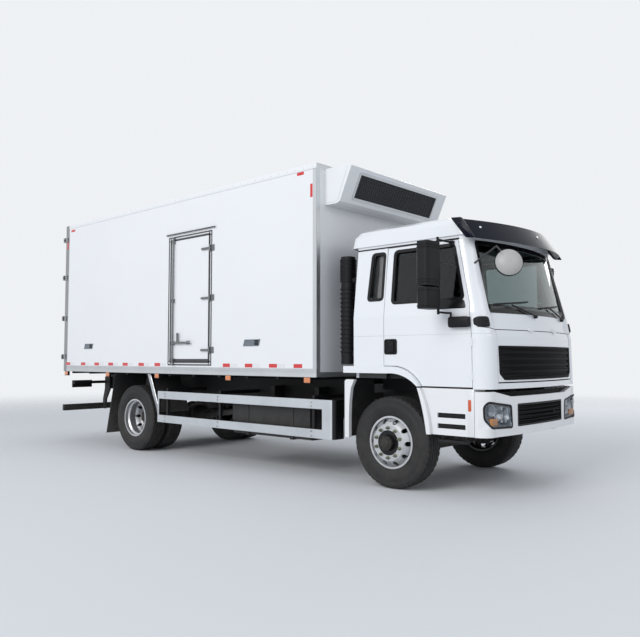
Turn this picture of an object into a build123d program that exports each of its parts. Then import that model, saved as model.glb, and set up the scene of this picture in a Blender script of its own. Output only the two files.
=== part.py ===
"""Refrigerated truck: two axles, a tilting day cab and an insulated box.

Millimetres. +X points to the front, +Y to the truck's left, +Z up. The origin is
on the ground, halfway along the truck. Stations along the truck are written from
the front axle (FA) or the rear axle (RA).
"""
import os

from build123d import *

os.makedirs("parts", exist_ok=True)

# Overall
WHEELBASE = 5000
FRONT_OVERHANG = 1480
REAR_OVERHANG = 2346
FA = (FRONT_OVERHANG + WHEELBASE + REAR_OVERHANG) / 2 - FRONT_OVERHANG
RA = FA - WHEELBASE
SEAT = 0.3  # between pieces that are bolted face to face
RUN = 0.5  # radial room round a pin or shaft
SIDES = (-1, 1)  # right, left

# Wheels: stations across the truck, and the common tyre and rim
TYRE_R, TYRE_BULGE, TYRE_CROWN = 520, 140, 112
RIM_SEAT_R, FLANGE_R, RIM_HALF, FLANGE_T, BARREL_T = 286, 297.5, 106, 12, 10
WELL_DEPTH = 24
DISC_FACE, DISC_T, DISC_BORE_R, NUT_CIRCLE_R = 165, 12, 140.5, 167.5
HAND_HOLES, HAND_HOLE_R, HAND_HOLE_CIRCLE_R = 10, 27, 242
AXLE_Z = TYRE_R
FRONT_WHEEL_Y, REAR_OUTER_Y = 1019, 1108
REAR_INNER_Y = REAR_OUTER_Y - 2 * DISC_FACE - SEAT
DRUM_R, DRUM_T, FLANGE_HUB_R, PILOT_R, NOSE_R = 205, 14, 185, 140, 80
SPINDLE_R = 36

# Steering
KINGPIN_Y, KINGPIN_R, EYE_R, EYE_HALF = 900, 22, 36, 62
LUG_T, ARM_LENGTH, ARM_Z, ARM_T = 40, 170, 430, 25
ARM_Y, TIE_ROD_R, TIE_END_R = KINGPIN_Y - 38, 18, 22

# Frame, as C rails, and springs hung outside it
RAIL_Y, RAIL_Z, RAIL_TOP, RAIL_T, RAIL_FLANGE = 430, 900, 1140, 8, 75
RAIL_FRONT, HORN_X, RAIL_REAR = FA + 1120, FA + 1195, RA - 2200
SPRING_Y = (440, 520)
LEAF_T = 16

# Cab
CAB_HALF, CAB_TOP_HALF = 1142, 1045
CAB_Z, CREASE_Z, BELT_Z, CAB_TOP_Z = 1150, 1700, 1950, 2755
CAB_BACK, CAB_WALL, CAB_PANEL, DOOR_T = FA - 530, 50, 90, 84
FLOOR_Z, FLOOR_T = 1240, 60
TUNNEL_HALF, TUNNEL_Z, TUNNEL_T, TUNNEL_FRONT = 420, 1600, 40, FA + 1060
DOOR_GAP, DOOR_BACK, DOOR_BOTTOM = 6, FA - 85, 1165
PIVOT_X, PIVOT_Z, PIVOT_R = FA + 1160, 930, 16
LID_Z, LID_TOP, LID_HALF = 1223, 1770, 930
LID_AXIS_X, LID_AXIS_Z = FA + 1316, 1773
ROOF_Z, ROOF_TOP = 2800, 3050
SCREEN_Z, SCREEN_TOP, SCREEN_HALF, SCREEN_TOP_HALF = 1965, 2735, 968, 935
SCREEN_ROUND, QUARTER_ROUND, WINDOW_ROUND = 50, 40, 50
GLASS_T, GLASS_DEPTH = 6, 28

# Box
HINGE_OUT, HINGE_BACK, HINGE_R, HINGE_PIN_R = 24, 34, 12, 6
BOX_FRONT, BOX_REAR = FA - 1030, RA - REAR_OVERHANG + HINGE_BACK + HINGE_R
BOX_HALF, BOX_WALL = 1250, 80
BOX_Z, BOX_TOP, BOX_FLOOR_T = 1240, 3910, 120
REAR_FRAME, POST_W, HEADER_H, SILL_H = 120, 60, 90, 100
RAIL_PROUD = 6
SIDE_DOOR = (FA - 4065, FA - 3095)
SIDE_DOOR_Z = (1400, 3285)
LEAF_GAP, LEAF_SWING_GAP, MEET_GAP = 5, 11, 6
SIDE_HINGE_OUT = 20


def slab(x, y, z, mode=Mode.ADD):
    """A box between two limits on each axis."""
    with Locations([(sum(x) / 2, sum(y) / 2, sum(z) / 2)]):
        Box(abs(x[1] - x[0]), abs(y[1] - y[0]), abs(z[1] - z[0]), mode=mode)


def rod(start, direction, length, radius, mode=Mode.ADD):
    """A round bar from start along direction."""
    with BuildSketch(Plane(origin=start, z_dir=direction)) as section:
        Circle(radius)
    extrude(section.sketch, amount=length, mode=mode)


def bent_bar(points, radius):
    """A round bar through several points, with a ball at each bend."""
    for start, end in zip(points, points[1:]):
        rod(start, Vector(*end) - Vector(*start), (Vector(*end) - Vector(*start)).length, radius)
    for bend in points[1:-1]:
        with Locations(bend):
            Sphere(radius + 1)


def prism(plane, points, amount, mode=Mode.ADD, round_r=0):
    """A straight-sided outline, its corners rounded if asked, pushed along its plane's normal."""
    with BuildSketch(plane) as outline:
        with BuildLine():
            Polyline(*points, close=True)
        make_face()
        if round_r:
            fillet(outline.vertices(), round_r)
    extrude(outline.sketch, amount=amount, mode=mode)


def side_prism(points, y, mode=Mode.ADD, round_r=0):
    """An outline in (x, z) pushed across the truck between the two stations y."""
    prism(Plane.XZ.offset(-max(y)), points, max(y) - min(y), mode, round_r)


def front_prism(points, x, mode=Mode.ADD, round_r=0):
    """An outline in (y, z) pushed along the truck between the two stations x."""
    prism(Plane.YZ.offset(min(x)), points, max(x) - min(x), mode, round_r)


def save(builder, name):
    """Label a finished piece and write its file."""
    builder.part.label = name
    export_step(builder.part, f"parts/{name}.step")


def across(side, *stations):
    """Stations across the truck on one side, low first."""
    return tuple(sorted(side * s for s in stations))


def turned(x, y, points):
    """Revolve an outline of (axial, radial) points about the wheel line through x."""
    plane = Plane(origin=(x, y, AXLE_Z), x_dir=(0, 1, 0), z_dir=(1, 0, 0))
    with BuildSketch(plane) as outline:
        with BuildLine():
            Polyline(*points, close=True)
        make_face()
    revolve(outline.sketch, axis=Axis((x, y, AXLE_Z), (0, 1, 0)))


# Tyres, closed rings that the rims fill
def tyre(x, y):
    """One tyre: bead seat, two bulging walls, shoulders and a slightly crowned tread."""
    bead, shoulder = (RIM_HALF, FLANGE_R + 3), (TYRE_CROWN, TYRE_R - 9)
    wall_top = (TYRE_BULGE - 13, TYRE_R - 38)
    plane = Plane(origin=(x, y, AXLE_Z), x_dir=(0, 1, 0), z_dir=(1, 0, 0))
    with BuildSketch(plane) as outline:
        with BuildLine():
            for side in SIDES:
                Line((side * (RIM_HALF - SEAT), RIM_SEAT_R), (side * (RIM_HALF - SEAT), bead[1]))
                ThreePointArc((side * (RIM_HALF - SEAT), bead[1]), (side * TYRE_BULGE, 395),
                              (side * wall_top[0], wall_top[1]))
                Line((side * wall_top[0], wall_top[1]), (side * shoulder[0], shoulder[1]))
            Line((-(RIM_HALF - SEAT), RIM_SEAT_R), (RIM_HALF - SEAT, RIM_SEAT_R))
            ThreePointArc((-shoulder[0], shoulder[1]), (0, TYRE_R), shoulder)
        make_face()
    revolve(outline.sketch, axis=Axis((x, y, AXLE_Z), (0, 1, 0)))


def rim(x, y, out):
    """One disc wheel. out is +1 or -1, the way the disc's face lies along Y."""
    seat, inner = RIM_SEAT_R - SEAT, RIM_SEAT_R - SEAT - BARREL_T
    well = (seat - WELL_DEPTH, inner - WELL_DEPTH)
    lip = RIM_HALF + FLANGE_T
    turned(x, y, [(-lip, FLANGE_R), (-RIM_HALF, FLANGE_R), (-RIM_HALF, seat), (-70, seat),
                  (-50, well[0]), (38, well[0]), (58, seat), (RIM_HALF, seat),
                  (RIM_HALF, FLANGE_R), (lip, FLANGE_R), (lip, inner), (56, inner),
                  (36, well[1]), (-48, well[1]), (-68, inner), (-lip, inner)])
    face, back = out * DISC_FACE, out * (DISC_FACE - DISC_T)
    turned(x, y, [(out * 82, inner + 1), (out * 140, 232), (face, 204), (face, DISC_BORE_R),
                  (back, DISC_BORE_R), (back, 198), (out * 128, 223), (out * 68, inner - 5),
                  (out * 68, inner + 1)])
    plane = Plane(origin=(x, y + out * 60, AXLE_Z), x_dir=(1, 0, 0), z_dir=(0, out, 0))
    with BuildSketch(plane) as holes:
        with PolarLocations(HAND_HOLE_CIRCLE_R, HAND_HOLES):
            Circle(HAND_HOLE_R)
    extrude(holes.sketch, amount=110, mode=Mode.SUBTRACT)


def hub(x, y, side, spindle_in, drum_in, spindle_out, flange, nose, bore_r):
    """Hub, flange and brake drum. The stations run outboard from y, the wheel's centre."""
    s = side
    turned(x, y, [(s * spindle_in, bore_r), (s * spindle_in, 85), (s * (flange - 40), 85),
                  (s * (flange - 40), DRUM_R - DRUM_T), (s * drum_in, DRUM_R - DRUM_T),
                  (s * drum_in, DRUM_R), (s * (flange - 26), DRUM_R),
                  (s * (flange - 12.7), FLANGE_HUB_R), (s * flange, FLANGE_HUB_R),
                  (s * flange, PILOT_R), (s * (flange + DISC_T), PILOT_R),
                  (s * (flange + DISC_T), NOSE_R + 12), (s * nose, NOSE_R), (s * nose, 0),
                  (s * spindle_out, 0), (s * spindle_out, bore_r)])


for side, name in zip(SIDES, ("right", "left")):
    wheel_y = side * FRONT_WHEEL_Y
    with BuildPart() as front_tyre:
        tyre(FA, wheel_y)
    save(front_tyre, f"front_tyre_{name}")

    with BuildPart() as front_rim:
        rim(FA, wheel_y, side)
        hub(FA, wheel_y, side, -50, -52, 148, DISC_FACE - DISC_T - SEAT, 205, SPINDLE_R + RUN)
    save(front_rim, f"front_rim_{name}")

    with BuildPart() as rear_tyres:
        tyre(RA, side * REAR_OUTER_Y)
        tyre(RA, side * REAR_INNER_Y)
    save(rear_tyres, f"rear_tyres_{name}")

    with BuildPart() as rear_rims:
        rim(RA, side * REAR_OUTER_Y, -side)
        rim(RA, side * REAR_INNER_Y, side)
        hub(RA, side * REAR_INNER_Y, side, -70, -88, 160, DISC_FACE - DISC_T - SEAT, 255, SPINDLE_R + 12 + RUN)
    save(rear_rims, f"rear_rims_{name}")

    # Steering knuckle: fork round the axle's eye, kingpin, spindle, brake plate and arm
    with BuildPart() as knuckle:
        fork_out = KINGPIN_Y + EYE_R + 6
        for low in (AXLE_Z - EYE_HALF - LUG_T - 1, AXLE_Z + EYE_HALF + 1):
            slab((FA - EYE_R, FA + EYE_R), across(side, KINGPIN_Y, fork_out + 2), (low, low + LUG_T))
            rod((FA, side * KINGPIN_Y, low), (0, 0, 1), LUG_T, EYE_R)
        rod((FA, side * KINGPIN_Y, AXLE_Z - EYE_HALF - LUG_T), (0, 0, 1), 2 * (EYE_HALF + LUG_T), KINGPIN_R)
        slab((FA - 60, FA + 60), across(side, fork_out, fork_out + 18),
             (AXLE_Z - EYE_HALF - LUG_T - 1, AXLE_Z + EYE_HALF + LUG_T + 1))
        rod((FA, side * (fork_out + 18), AXLE_Z), (0, side, 0), 8, DRUM_R - DRUM_T - 6)
        rod((FA, side * (fork_out + 20), AXLE_Z), (0, side, 0),
            FRONT_WHEEL_Y + 147 - fork_out - 20, SPINDLE_R)
        slab((FA - ARM_LENGTH, FA), across(side, ARM_Y - 18, ARM_Y + 26), (ARM_Z, ARM_Z + ARM_T))
        rod((FA - ARM_LENGTH, side * ARM_Y, ARM_Z), (0, 0, 1), ARM_T, TIE_END_R + 3)
    save(knuckle, f"knuckle_{name}")

with BuildPart() as tie_rod:
    rod_z = ARM_Z - RUN - TIE_ROD_R
    rod((FA - ARM_LENGTH, -ARM_Y, rod_z), (0, 1, 0), 2 * ARM_Y, TIE_ROD_R)
    for side in SIDES:
        rod((FA - ARM_LENGTH, side * ARM_Y, rod_z - TIE_END_R), (0, 0, 1), TIE_END_R + TIE_ROD_R, TIE_END_R)
save(tie_rod, "tie_rod")


# Axles with their leaf springs
def leaf_pack(x, seat_z, half, camber, leaves):
    """Leaves of falling length in one arc, the longest on top with rolled eyes."""
    radius = (half ** 2 + camber ** 2) / (2 * camber)
    centre = seat_z + leaves * LEAF_T + radius
    for side in SIDES:
        with BuildSketch(Plane.XZ.offset(-max(across(side, *SPRING_Y)))) as outline:
            for leaf in range(leaves):
                reach = half * (1 - 0.17 * leaf)
                with BuildLine():
                    upper, lower = radius + leaf * LEAF_T, radius + (leaf + 1) * LEAF_T
                    ends = []
                    for r in (upper, lower):
                        drop = (r ** 2 - reach ** 2) ** 0.5
                        ends.append(((x - reach, centre - drop), (x + reach, centre - drop)))
                        ThreePointArc(ends[-1][0], (x, centre - r), ends[-1][1])
                    Line(ends[0][0], ends[1][0])
                    Line(ends[0][1], ends[1][1])
                make_face()
            eye_z = centre - (radius ** 2 - half ** 2) ** 0.5
            with Locations((x - half, eye_z - 8), (x + half, eye_z - 8)):
                Circle(30)
            with Locations((x - half, eye_z - 8), (x + half, eye_z - 8)):
                Circle(14 + RUN, mode=Mode.SUBTRACT)
        extrude(outline.sketch, amount=SPRING_Y[1] - SPRING_Y[0])
    return eye_z - 8


FRONT_SPRING = dict(x=FA - 30, half=740, camber=85, leaves=4)
REAR_SPRING = dict(x=RA, half=700, camber=80, leaves=5)
FRONT_PAD_Z, REAR_PAD_Z = 490, 602

with BuildPart() as front_axle:
    front_prism([(-KINGPIN_Y + EYE_R - 10, 574), (-800, 574), (-650, 470), (650, 470), (800, 574),
                 (KINGPIN_Y - EYE_R + 10, 574), (KINGPIN_Y - EYE_R + 10, 466), (800, 462), (670, 368),
                 (-670, 368), (-800, 462), (-KINGPIN_Y + EYE_R - 10, 466)], (FA - 45, FA + 45))
    for face in (FA - 45, FA + 33):
        slab((face, face + 12), (-640, 640), (386, 452), Mode.SUBTRACT)
    for side in SIDES:
        rod((FA, side * KINGPIN_Y, AXLE_Z - EYE_HALF), (0, 0, 1), 2 * EYE_HALF, EYE_R)
        rod((FA, side * KINGPIN_Y, AXLE_Z - EYE_HALF), (0, 0, 1), 2 * EYE_HALF, KINGPIN_R + RUN, Mode.SUBTRACT)
        slab((FA - 130, FA + 70), across(side, *SPRING_Y), (469, FRONT_PAD_Z + 1))
    front_eye_z = leaf_pack(seat_z=FRONT_PAD_Z, **FRONT_SPRING)
save(front_axle, "front_axle")

with BuildPart() as rear_axle:
    half_tube = REAR_INNER_Y - 72
    slab((RA - 62, RA + 62), (-half_tube, half_tube), (AXLE_Z - 60, AXLE_Z + 60))
    fillet(rear_axle.edges().filter_by(Axis.Y), 25)
    rod((RA - 120, 0, AXLE_Z), (1, 0, 0), 240, 205)
    with BuildSketch(Plane.YZ.offset(RA + 110)):
        with Locations((0, AXLE_Z)):
            Circle(160)
    with BuildSketch(Plane.YZ.offset(RA + 330)):
        with Locations((0, AXLE_Z)):
            Circle(80)
    loft()
    for side in SIDES:
        rod((RA, side * (half_tube - 20), AXLE_Z), (0, side, 0), 20 + 72 + 148, SPINDLE_R + 12)
        slab((RA - 100, RA + 100), across(side, *SPRING_Y), (AXLE_Z + 40, REAR_PAD_Z + 1))
    rear_eye_z = leaf_pack(seat_z=REAR_PAD_Z, **REAR_SPRING)
save(rear_axle, "rear_axle")

# Ladder frame: two C rails, cross members, spring hangers, cab pivots and engine feet
TOW_LUG_T, TOW_BORE_R, TOW_X, TOW_Z = 30, 20, RAIL_REAR - 40, RAIL_Z - 45
CROSS_MEMBERS = (("gearbox", FA - 1300), ("centre bearing", FA - 2650),
                 ("middle", FA - 3700), ("rear spring front", RA + 700), ("rear spring back", RA - 780),
                 ("end", RAIL_REAR + 40))
with BuildPart() as ladder_frame:
    for side in SIDES:
        front_prism([(side * RAIL_Y, RAIL_Z), (side * RAIL_Y, RAIL_TOP),
                     (side * (RAIL_Y - RAIL_FLANGE), RAIL_TOP),
                     (side * (RAIL_Y - RAIL_FLANGE), RAIL_TOP - RAIL_T),
                     (side * (RAIL_Y - RAIL_T), RAIL_TOP - RAIL_T),
                     (side * (RAIL_Y - RAIL_T), RAIL_Z + RAIL_T),
                     (side * (RAIL_Y - RAIL_FLANGE), RAIL_Z + RAIL_T),
                     (side * (RAIL_Y - RAIL_FLANGE), RAIL_Z)], (RAIL_REAR, RAIL_FRONT))
        for spring, eye_z in ((FRONT_SPRING, front_eye_z), (REAR_SPRING, rear_eye_z)):
            for end in (spring["x"] - spring["half"], spring["x"] + spring["half"]):
                slab((end - 45, end + 45), across(side, RAIL_Y, RAIL_Y + 9), (eye_z - 45, RAIL_Z + 90))
                rod((end, side * (RAIL_Y + 8), eye_z), (0, side, 0), SPRING_Y[1] - RAIL_Y, 14)
        rod((PIVOT_X, side * 360, PIVOT_Z), (0, side, 0), 165, PIVOT_R)
        slab((RAIL_FRONT - 60, HORN_X), across(side, 360, RAIL_Y), (RAIL_Z - 100, RAIL_Z + 70))
        slab((FA - 500, FA - 420), across(side, 370, RAIL_Y), (RAIL_TOP, FLOOR_Z - SEAT))
        for station in (FA + 500, FA - 250):
            slab((station - 40, station + 40), across(side, 330 + SEAT, RAIL_Y - RAIL_T + 1),
                 (RAIL_Z + 60, RAIL_Z + 120))
    inside = RAIL_Y - RAIL_T - SEAT
    for member, station in CROSS_MEMBERS:
        slab((station - 40, station + 40), (-inside, inside), (RAIL_Z + RAIL_T + SEAT, RAIL_Z + 2 * RAIL_T))
        slab((station - 4, station + 4), (-inside, inside), (RAIL_Z + 2 * RAIL_T - 1, RAIL_TOP - RAIL_T - SEAT))
    between = RAIL_Y - RAIL_FLANGE - SEAT
    slab((FA + 840, FA + 970), (-between, between), (RAIL_Z - 30, RAIL_Z + 9))
    slab((TOW_X - 45, RAIL_REAR + 80), (-TOW_LUG_T / 2, TOW_LUG_T / 2), (TOW_Z - 45, RAIL_Z + RAIL_T))
    rod((TOW_X, -TOW_LUG_T, TOW_Z), (0, 1, 0), 2 * TOW_LUG_T, TOW_BORE_R, Mode.SUBTRACT)

save(ladder_frame, "ladder_frame")

ENGINE = dict(x=(FA - 400, FA + 700), y=(-330, 330), z=(640, 1480))
SHAFT_R, JOINT_R = 50, 62
GEARBOX_BACK, GEARBOX_Z = FA - 1120, 800
BEARING_X, BEARING_Z = FA - 2650, 760
with BuildPart() as engine:
    slab(**ENGINE)
    chamfer(engine.edges().filter_by(Axis.X), 60)
    with BuildSketch(Plane.YZ.offset(FA - 400)):
        with Locations((0, GEARBOX_Z)):
            Circle(230)
    with BuildSketch(Plane.YZ.offset(GEARBOX_BACK)):
        with Locations((0, GEARBOX_Z)):
            Circle(130)
    loft()
save(engine, "engine")

with BuildPart() as radiator:
    slab((FA + 860, FA + 940), (-340, 340), (RAIL_Z + 9 + SEAT, 1370))
    slab((FA + 760, FA + 860), (-320, 320), (RAIL_Z + 30, 1340))
    rod((FA + 700, 0, 1130), (1, 0, 0), 165, 200, Mode.SUBTRACT)
save(radiator, "radiator")


def shaft(start, end):
    """A tube between two joints, with a short yoke at each end."""
    run = Vector(*end) - Vector(*start)
    way = run.normalized()
    ease = JOINT_R * abs(way.Z) + SEAT
    first, last = Vector(*start) + way * ease, Vector(*end) - way * ease
    rod(first, way, (last - first).length, SHAFT_R)
    rod(first, way, 110, JOINT_R)
    rod(last - way * 110, way, 110, JOINT_R)


with BuildPart() as propeller_shaft:
    shaft((GEARBOX_BACK, 0, GEARBOX_Z), (BEARING_X, 0, BEARING_Z))
    shaft((BEARING_X, 0, BEARING_Z), (RA + 330, 0, AXLE_Z))
    slab((BEARING_X - 25, BEARING_X + 25), (-95, 95), (BEARING_Z - 85, RAIL_Z + RAIL_T - SEAT))
save(propeller_shaft, "propeller_shaft")

# Tanks and boxes on the rails
with BuildPart() as fuel_tank:
    slab((FA - 2760, FA - 1280), (-1100, -560), (430, 900))
    fillet(fuel_tank.edges().filter_by(Axis.X), 60)
    for station in (FA - 2450, FA - 1600):
        slab((station - 40, station + 40), (-620, -RAIL_Y - SEAT), (700, 1080))
        slab((station - 30, station + 30), (-1106, -554), (424, 906))
save(fuel_tank, "fuel_tank")

with BuildPart() as battery_and_air_tanks:
    slab((FA - 1950, FA - 1300), (560, 1080), (560, 930))
    fillet(battery_and_air_tanks.edges(), 20)
    slab((FA - 1700, FA - 1560), (RAIL_Y + SEAT, 570), (700, 1060))
    for tank_y in (660, 920):
        rod((FA - 2900, tank_y, 720), (1, 0, 0), 800, 115)
        for station in (FA - 2700, FA - 2300):
            slab((station - 20, station + 20), (tank_y - 121, tank_y + 121), (820, 846))
    for station in (FA - 2700, FA - 2300):
        slab((station - 20, station + 20), (RAIL_Y + SEAT, 1041), (842, 910))
save(battery_and_air_tanks, "battery_and_air_tanks")

with BuildPart() as exhaust:
    slab((FA - 3900, FA - 3150), (560, 960), (540, 860))
    fillet(exhaust.edges().filter_by(Axis.X), 120)
    for station in (FA - 3750, FA - 3300):
        slab((station - 25, station + 25), (RAIL_Y + SEAT, 700), (820, 960))
    with BuildLine() as pipe_line:
        FilletPolyline((FA - 3160, 740, 700), (FA - 3010, 740, 700), (FA - 2960, 300, 700),
                       (FA - 700, 300, 720), (FA - 500, 300, 760), (FA - 405, 300, 760), radius=60)
    with BuildSketch(Plane(origin=(FA - 3160, 740, 700), z_dir=(1, 0, 0))):
        Circle(38)
    sweep(path=pipe_line.wire())
save(exhaust, "exhaust")

# Side guards: two rails a side, a rear closure, a front post that turns in, arms to the frame
GUARD_X, GUARD_Y, GUARD_SKIN = (FA - 4390, FA - 780), (1180, 1220), 8
GUARD_RAILS, GUARD_ARM = ((490, 600), (850, 965)), (960, 1010)
GUARD_END, GUARD_FRONT, GUARD_TURN, GUARD_IN = GUARD_X[0] + 30, GUARD_X[1] - 190, 70, 1030
GUARD_POSTS = (FA - 4200, FA - 2950, FA - 1150)
with BuildPart() as side_guards:
    height = (GUARD_RAILS[0][0], GUARD_RAILS[1][1])
    for side in SIDES:
        for rail in GUARD_RAILS:
            slab((GUARD_END + SEAT, GUARD_FRONT - SEAT), across(side, *GUARD_Y), rail)
        slab((GUARD_X[0], GUARD_END), across(side, *GUARD_Y), height)
        with BuildSketch(Plane.XY.offset(height[0])) as turned_end:
            with BuildLine():
                y_out, y_in = side * GUARD_Y[1], side * (GUARD_Y[1] - GUARD_SKIN)
                turn_y = side * (GUARD_Y[1] - GUARD_TURN)
                turn_x, back = GUARD_X[1] - GUARD_TURN, GUARD_X[1] - GUARD_SKIN
                Line((GUARD_FRONT, y_out), (turn_x, y_out))
                TangentArc((turn_x, y_out), (GUARD_X[1], turn_y), tangent=(1, 0))
                Polyline((GUARD_X[1], turn_y), (GUARD_X[1], side * GUARD_IN),
                         (back, side * GUARD_IN), (back, turn_y))
                TangentArc((turn_x, y_in), (back, turn_y), tangent=(1, 0))
                Polyline((turn_x, y_in), (GUARD_FRONT, y_in), (GUARD_FRONT, y_out))
            make_face()
        extrude(turned_end.sketch, amount=height[1] - height[0])
        for station in GUARD_POSTS:
            slab((station - 20, station + 20), across(side, 1140, GUARD_Y[0] - SEAT), (height[0], GUARD_ARM[1]))
            slab((station - 20, station + 20), across(side, RAIL_Y + SEAT, 1141), GUARD_ARM)
        slab((GUARD_POSTS[-1] + 19, GUARD_X[1] - GUARD_SKIN - SEAT), across(side, 1125, 1145), (905, 925))
save(side_guards, "side_guards")

with BuildPart() as underrun_bar:
    slab((BOX_REAR - 10, BOX_REAR + 51), (-BOX_HALF, BOX_HALF), (520, 630))
    for side in SIDES:
        side_prism([(RAIL_REAR + 180, 1120), (RAIL_REAR + 10, 1120), (RAIL_REAR + 10, 900),
                    (BOX_REAR + 51, 700), (BOX_REAR + 51, 520), (RAIL_REAR + 20, 520),
                    (RAIL_REAR + 40, 700), (RAIL_REAR + 180, 920)], across(side, RAIL_Y + SEAT, RAIL_Y + 40))
save(underrun_bar, "underrun_bar")

# Lamps: the tail bar and the markers under the box's bottom rails
MARKERS = (FA - 1190, FA - 2690, FA - 4380, FA - 5800, FA - 7200)
with BuildPart() as lamps:
    slab((BOX_REAR + 30, RAIL_REAR - SEAT), (-1080, 1080), (1000, 1050))
    for side in SIDES:
        slab((BOX_REAR, BOX_REAR + 40), across(side, 700, 1080), (935, 1065))
        for station in MARKERS:
            slab((station - 60, station + 60), across(side, BOX_HALF - 35, BOX_HALF), (1160, BOX_Z - SEAT))
save(lamps, "lamps")

# Mudguards: plate before and rubber flap behind each rear pair, shield behind each front wheel
SHIELD_X, SHIELD_Z = FA - 624, (540, 1210)
with BuildPart() as mudguards:
    for side in SIDES:
        side_prism([(FA - 4720, BOX_Z - SEAT), (FA - 4700, BOX_Z - SEAT), (FA - 4400, 640), (FA - 4412, 630)],
                   across(side, 600, 1170))
        side_prism([(RA - 590, BOX_Z - SEAT), (RA - 582, BOX_Z - SEAT), (RA - 832, 220), (RA - 840, 220)],
                   across(side, 600, 1230))
        slab((SHIELD_X - 8, SHIELD_X), across(side, 620, 1200), SHIELD_Z)
        slab((FA - 650, FA - 630), across(side, RAIL_Y + SEAT, 700), (960, 1040))
save(mudguards, "mudguards")

# Insulated box
INNER_HALF = BOX_HALF - BOX_WALL
WALL_X = (BOX_REAR + REAR_FRAME + SEAT, BOX_FRONT - BOX_WALL - SEAT)
with BuildPart() as box_floor:
    slab(WALL_X, (-INNER_HALF + SEAT, INNER_HALF - SEAT), (BOX_Z, BOX_Z + BOX_FLOOR_T))
    for side in SIDES:
        slab((RAIL_REAR, WALL_X[1] - 40), across(side, RAIL_Y - 70, RAIL_Y), (RAIL_TOP + SEAT, 1200))
    for step in range(11):
        station = WALL_X[1] - 100 - step * 590
        slab((station - 25, station + 25), (-INNER_HALF, INNER_HALF), (1199, BOX_Z + 1))
save(box_floor, "box_floor")

with BuildPart() as box_roof:
    slab(WALL_X, (-INNER_HALF + SEAT, INNER_HALF - SEAT), (BOX_TOP - BOX_WALL, BOX_TOP))
save(box_roof, "box_roof")

with BuildPart() as box_front_wall:
    slab((BOX_FRONT - BOX_WALL, BOX_FRONT), (-BOX_HALF, BOX_HALF), (BOX_Z, BOX_TOP))
    fillet(box_front_wall.edges().filter_by(Axis.Z).group_by(Axis.X)[-1], 60)
save(box_front_wall, "box_front_wall")

# Door hinges: a fixed leaf with two knuckles, a door leaf with the middle knuckle and the pin
def fixed_knuckles(x, y, heights, leaf):
    """Outer knuckles on the post. leaf gives the plate's limits in x and y."""
    room = HINGE_R + 1
    for z in heights:
        slab(leaf[0], leaf[1], (z - 45, z + 45))
        slab((x, x + 8), (y, sum(leaf[1]) / 2), (z - 45, z + 45))
        rod((x, y, z - 45), (0, 0, 1), 90, HINGE_R)
        rod((x, y, z - 46), (0, 0, 1), 92, HINGE_PIN_R + RUN, Mode.SUBTRACT)
        slab((x - room, x + room), (min(y - room, *leaf[1]), max(y + room, *leaf[1])),
             (z - 15 - RUN, z + 15 + RUN),
             Mode.SUBTRACT)


def door_knuckle(x, y, heights, leaf):
    """Middle knuckle, pin and strap on the door."""
    for z in heights:
        slab(leaf[0], leaf[1], (z - 15, z + 15))
        rod((x, y, z - 15), (0, 0, 1), 30, HINGE_R)
        rod((x, y, z - 45), (0, 0, 1), 90, HINGE_PIN_R)


REAR_HINGES = (1500, 2200, 2950, 3650)
SIDE_HINGES = (1590, 2340, 3060)
REAR_AXIS = (BOX_REAR - HINGE_BACK, BOX_HALF + HINGE_OUT)
SIDE_AXIS = (SIDE_DOOR[1], -(BOX_HALF + SIDE_HINGE_OUT))
VENTS = ((FA - 2380, FA - 2040), (FA - 6580, FA - 6280))
for side, name in zip(SIDES, ("right", "left")):
    with BuildPart() as box_wall:
        slab(WALL_X, across(side, INNER_HALF, BOX_HALF), (BOX_Z, BOX_TOP))
        for rail in ((BOX_Z, BOX_Z + 100), (BOX_TOP - 60, BOX_TOP)):
            slab(WALL_X, across(side, BOX_HALF - 1, BOX_HALF + RAIL_PROUD), rail)
        for vent in VENTS:
            side_prism([(vent[0] + 30, 1720), (vent[1], 1720), (vent[1] - 30, 1640), (vent[0], 1640)],
                       across(side, BOX_HALF - 12, BOX_HALF + 1), Mode.SUBTRACT)
        if side < 0:
            slab(SIDE_DOOR, across(side, INNER_HALF - 1, BOX_HALF + 1), SIDE_DOOR_Z, Mode.SUBTRACT)
            slab((SIDE_DOOR[0] - 85, SIDE_DOOR[1] + 105), across(side, BOX_HALF - 1, BOX_HALF + 22),
                 (SIDE_DOOR_Z[1] + 68, SIDE_DOOR_Z[1] + 80))
            fixed_knuckles(*SIDE_AXIS, SIDE_HINGES, ((SIDE_AXIS[0], SIDE_AXIS[0] + 90),
                                                     (-BOX_HALF - 8, -BOX_HALF + 1)))
    save(box_wall, f"box_wall_{name}")

with BuildPart() as box_rear_frame:
    frame_x, between = (BOX_REAR, BOX_REAR + REAR_FRAME), BOX_HALF - POST_W - SEAT
    for bar in ((BOX_Z, BOX_Z + SILL_H), (BOX_TOP - HEADER_H, BOX_TOP)):
        slab(frame_x, (-between, between), bar)
    for side in SIDES:
        slab(frame_x, across(side, BOX_HALF - POST_W, BOX_HALF), (BOX_Z, BOX_TOP))
        fixed_knuckles(REAR_AXIS[0], side * REAR_AXIS[1], REAR_HINGES,
                       ((REAR_AXIS[0], BOX_REAR + 70), across(side, BOX_HALF, BOX_HALF + 14)))
save(box_rear_frame, "box_rear_frame")

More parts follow.
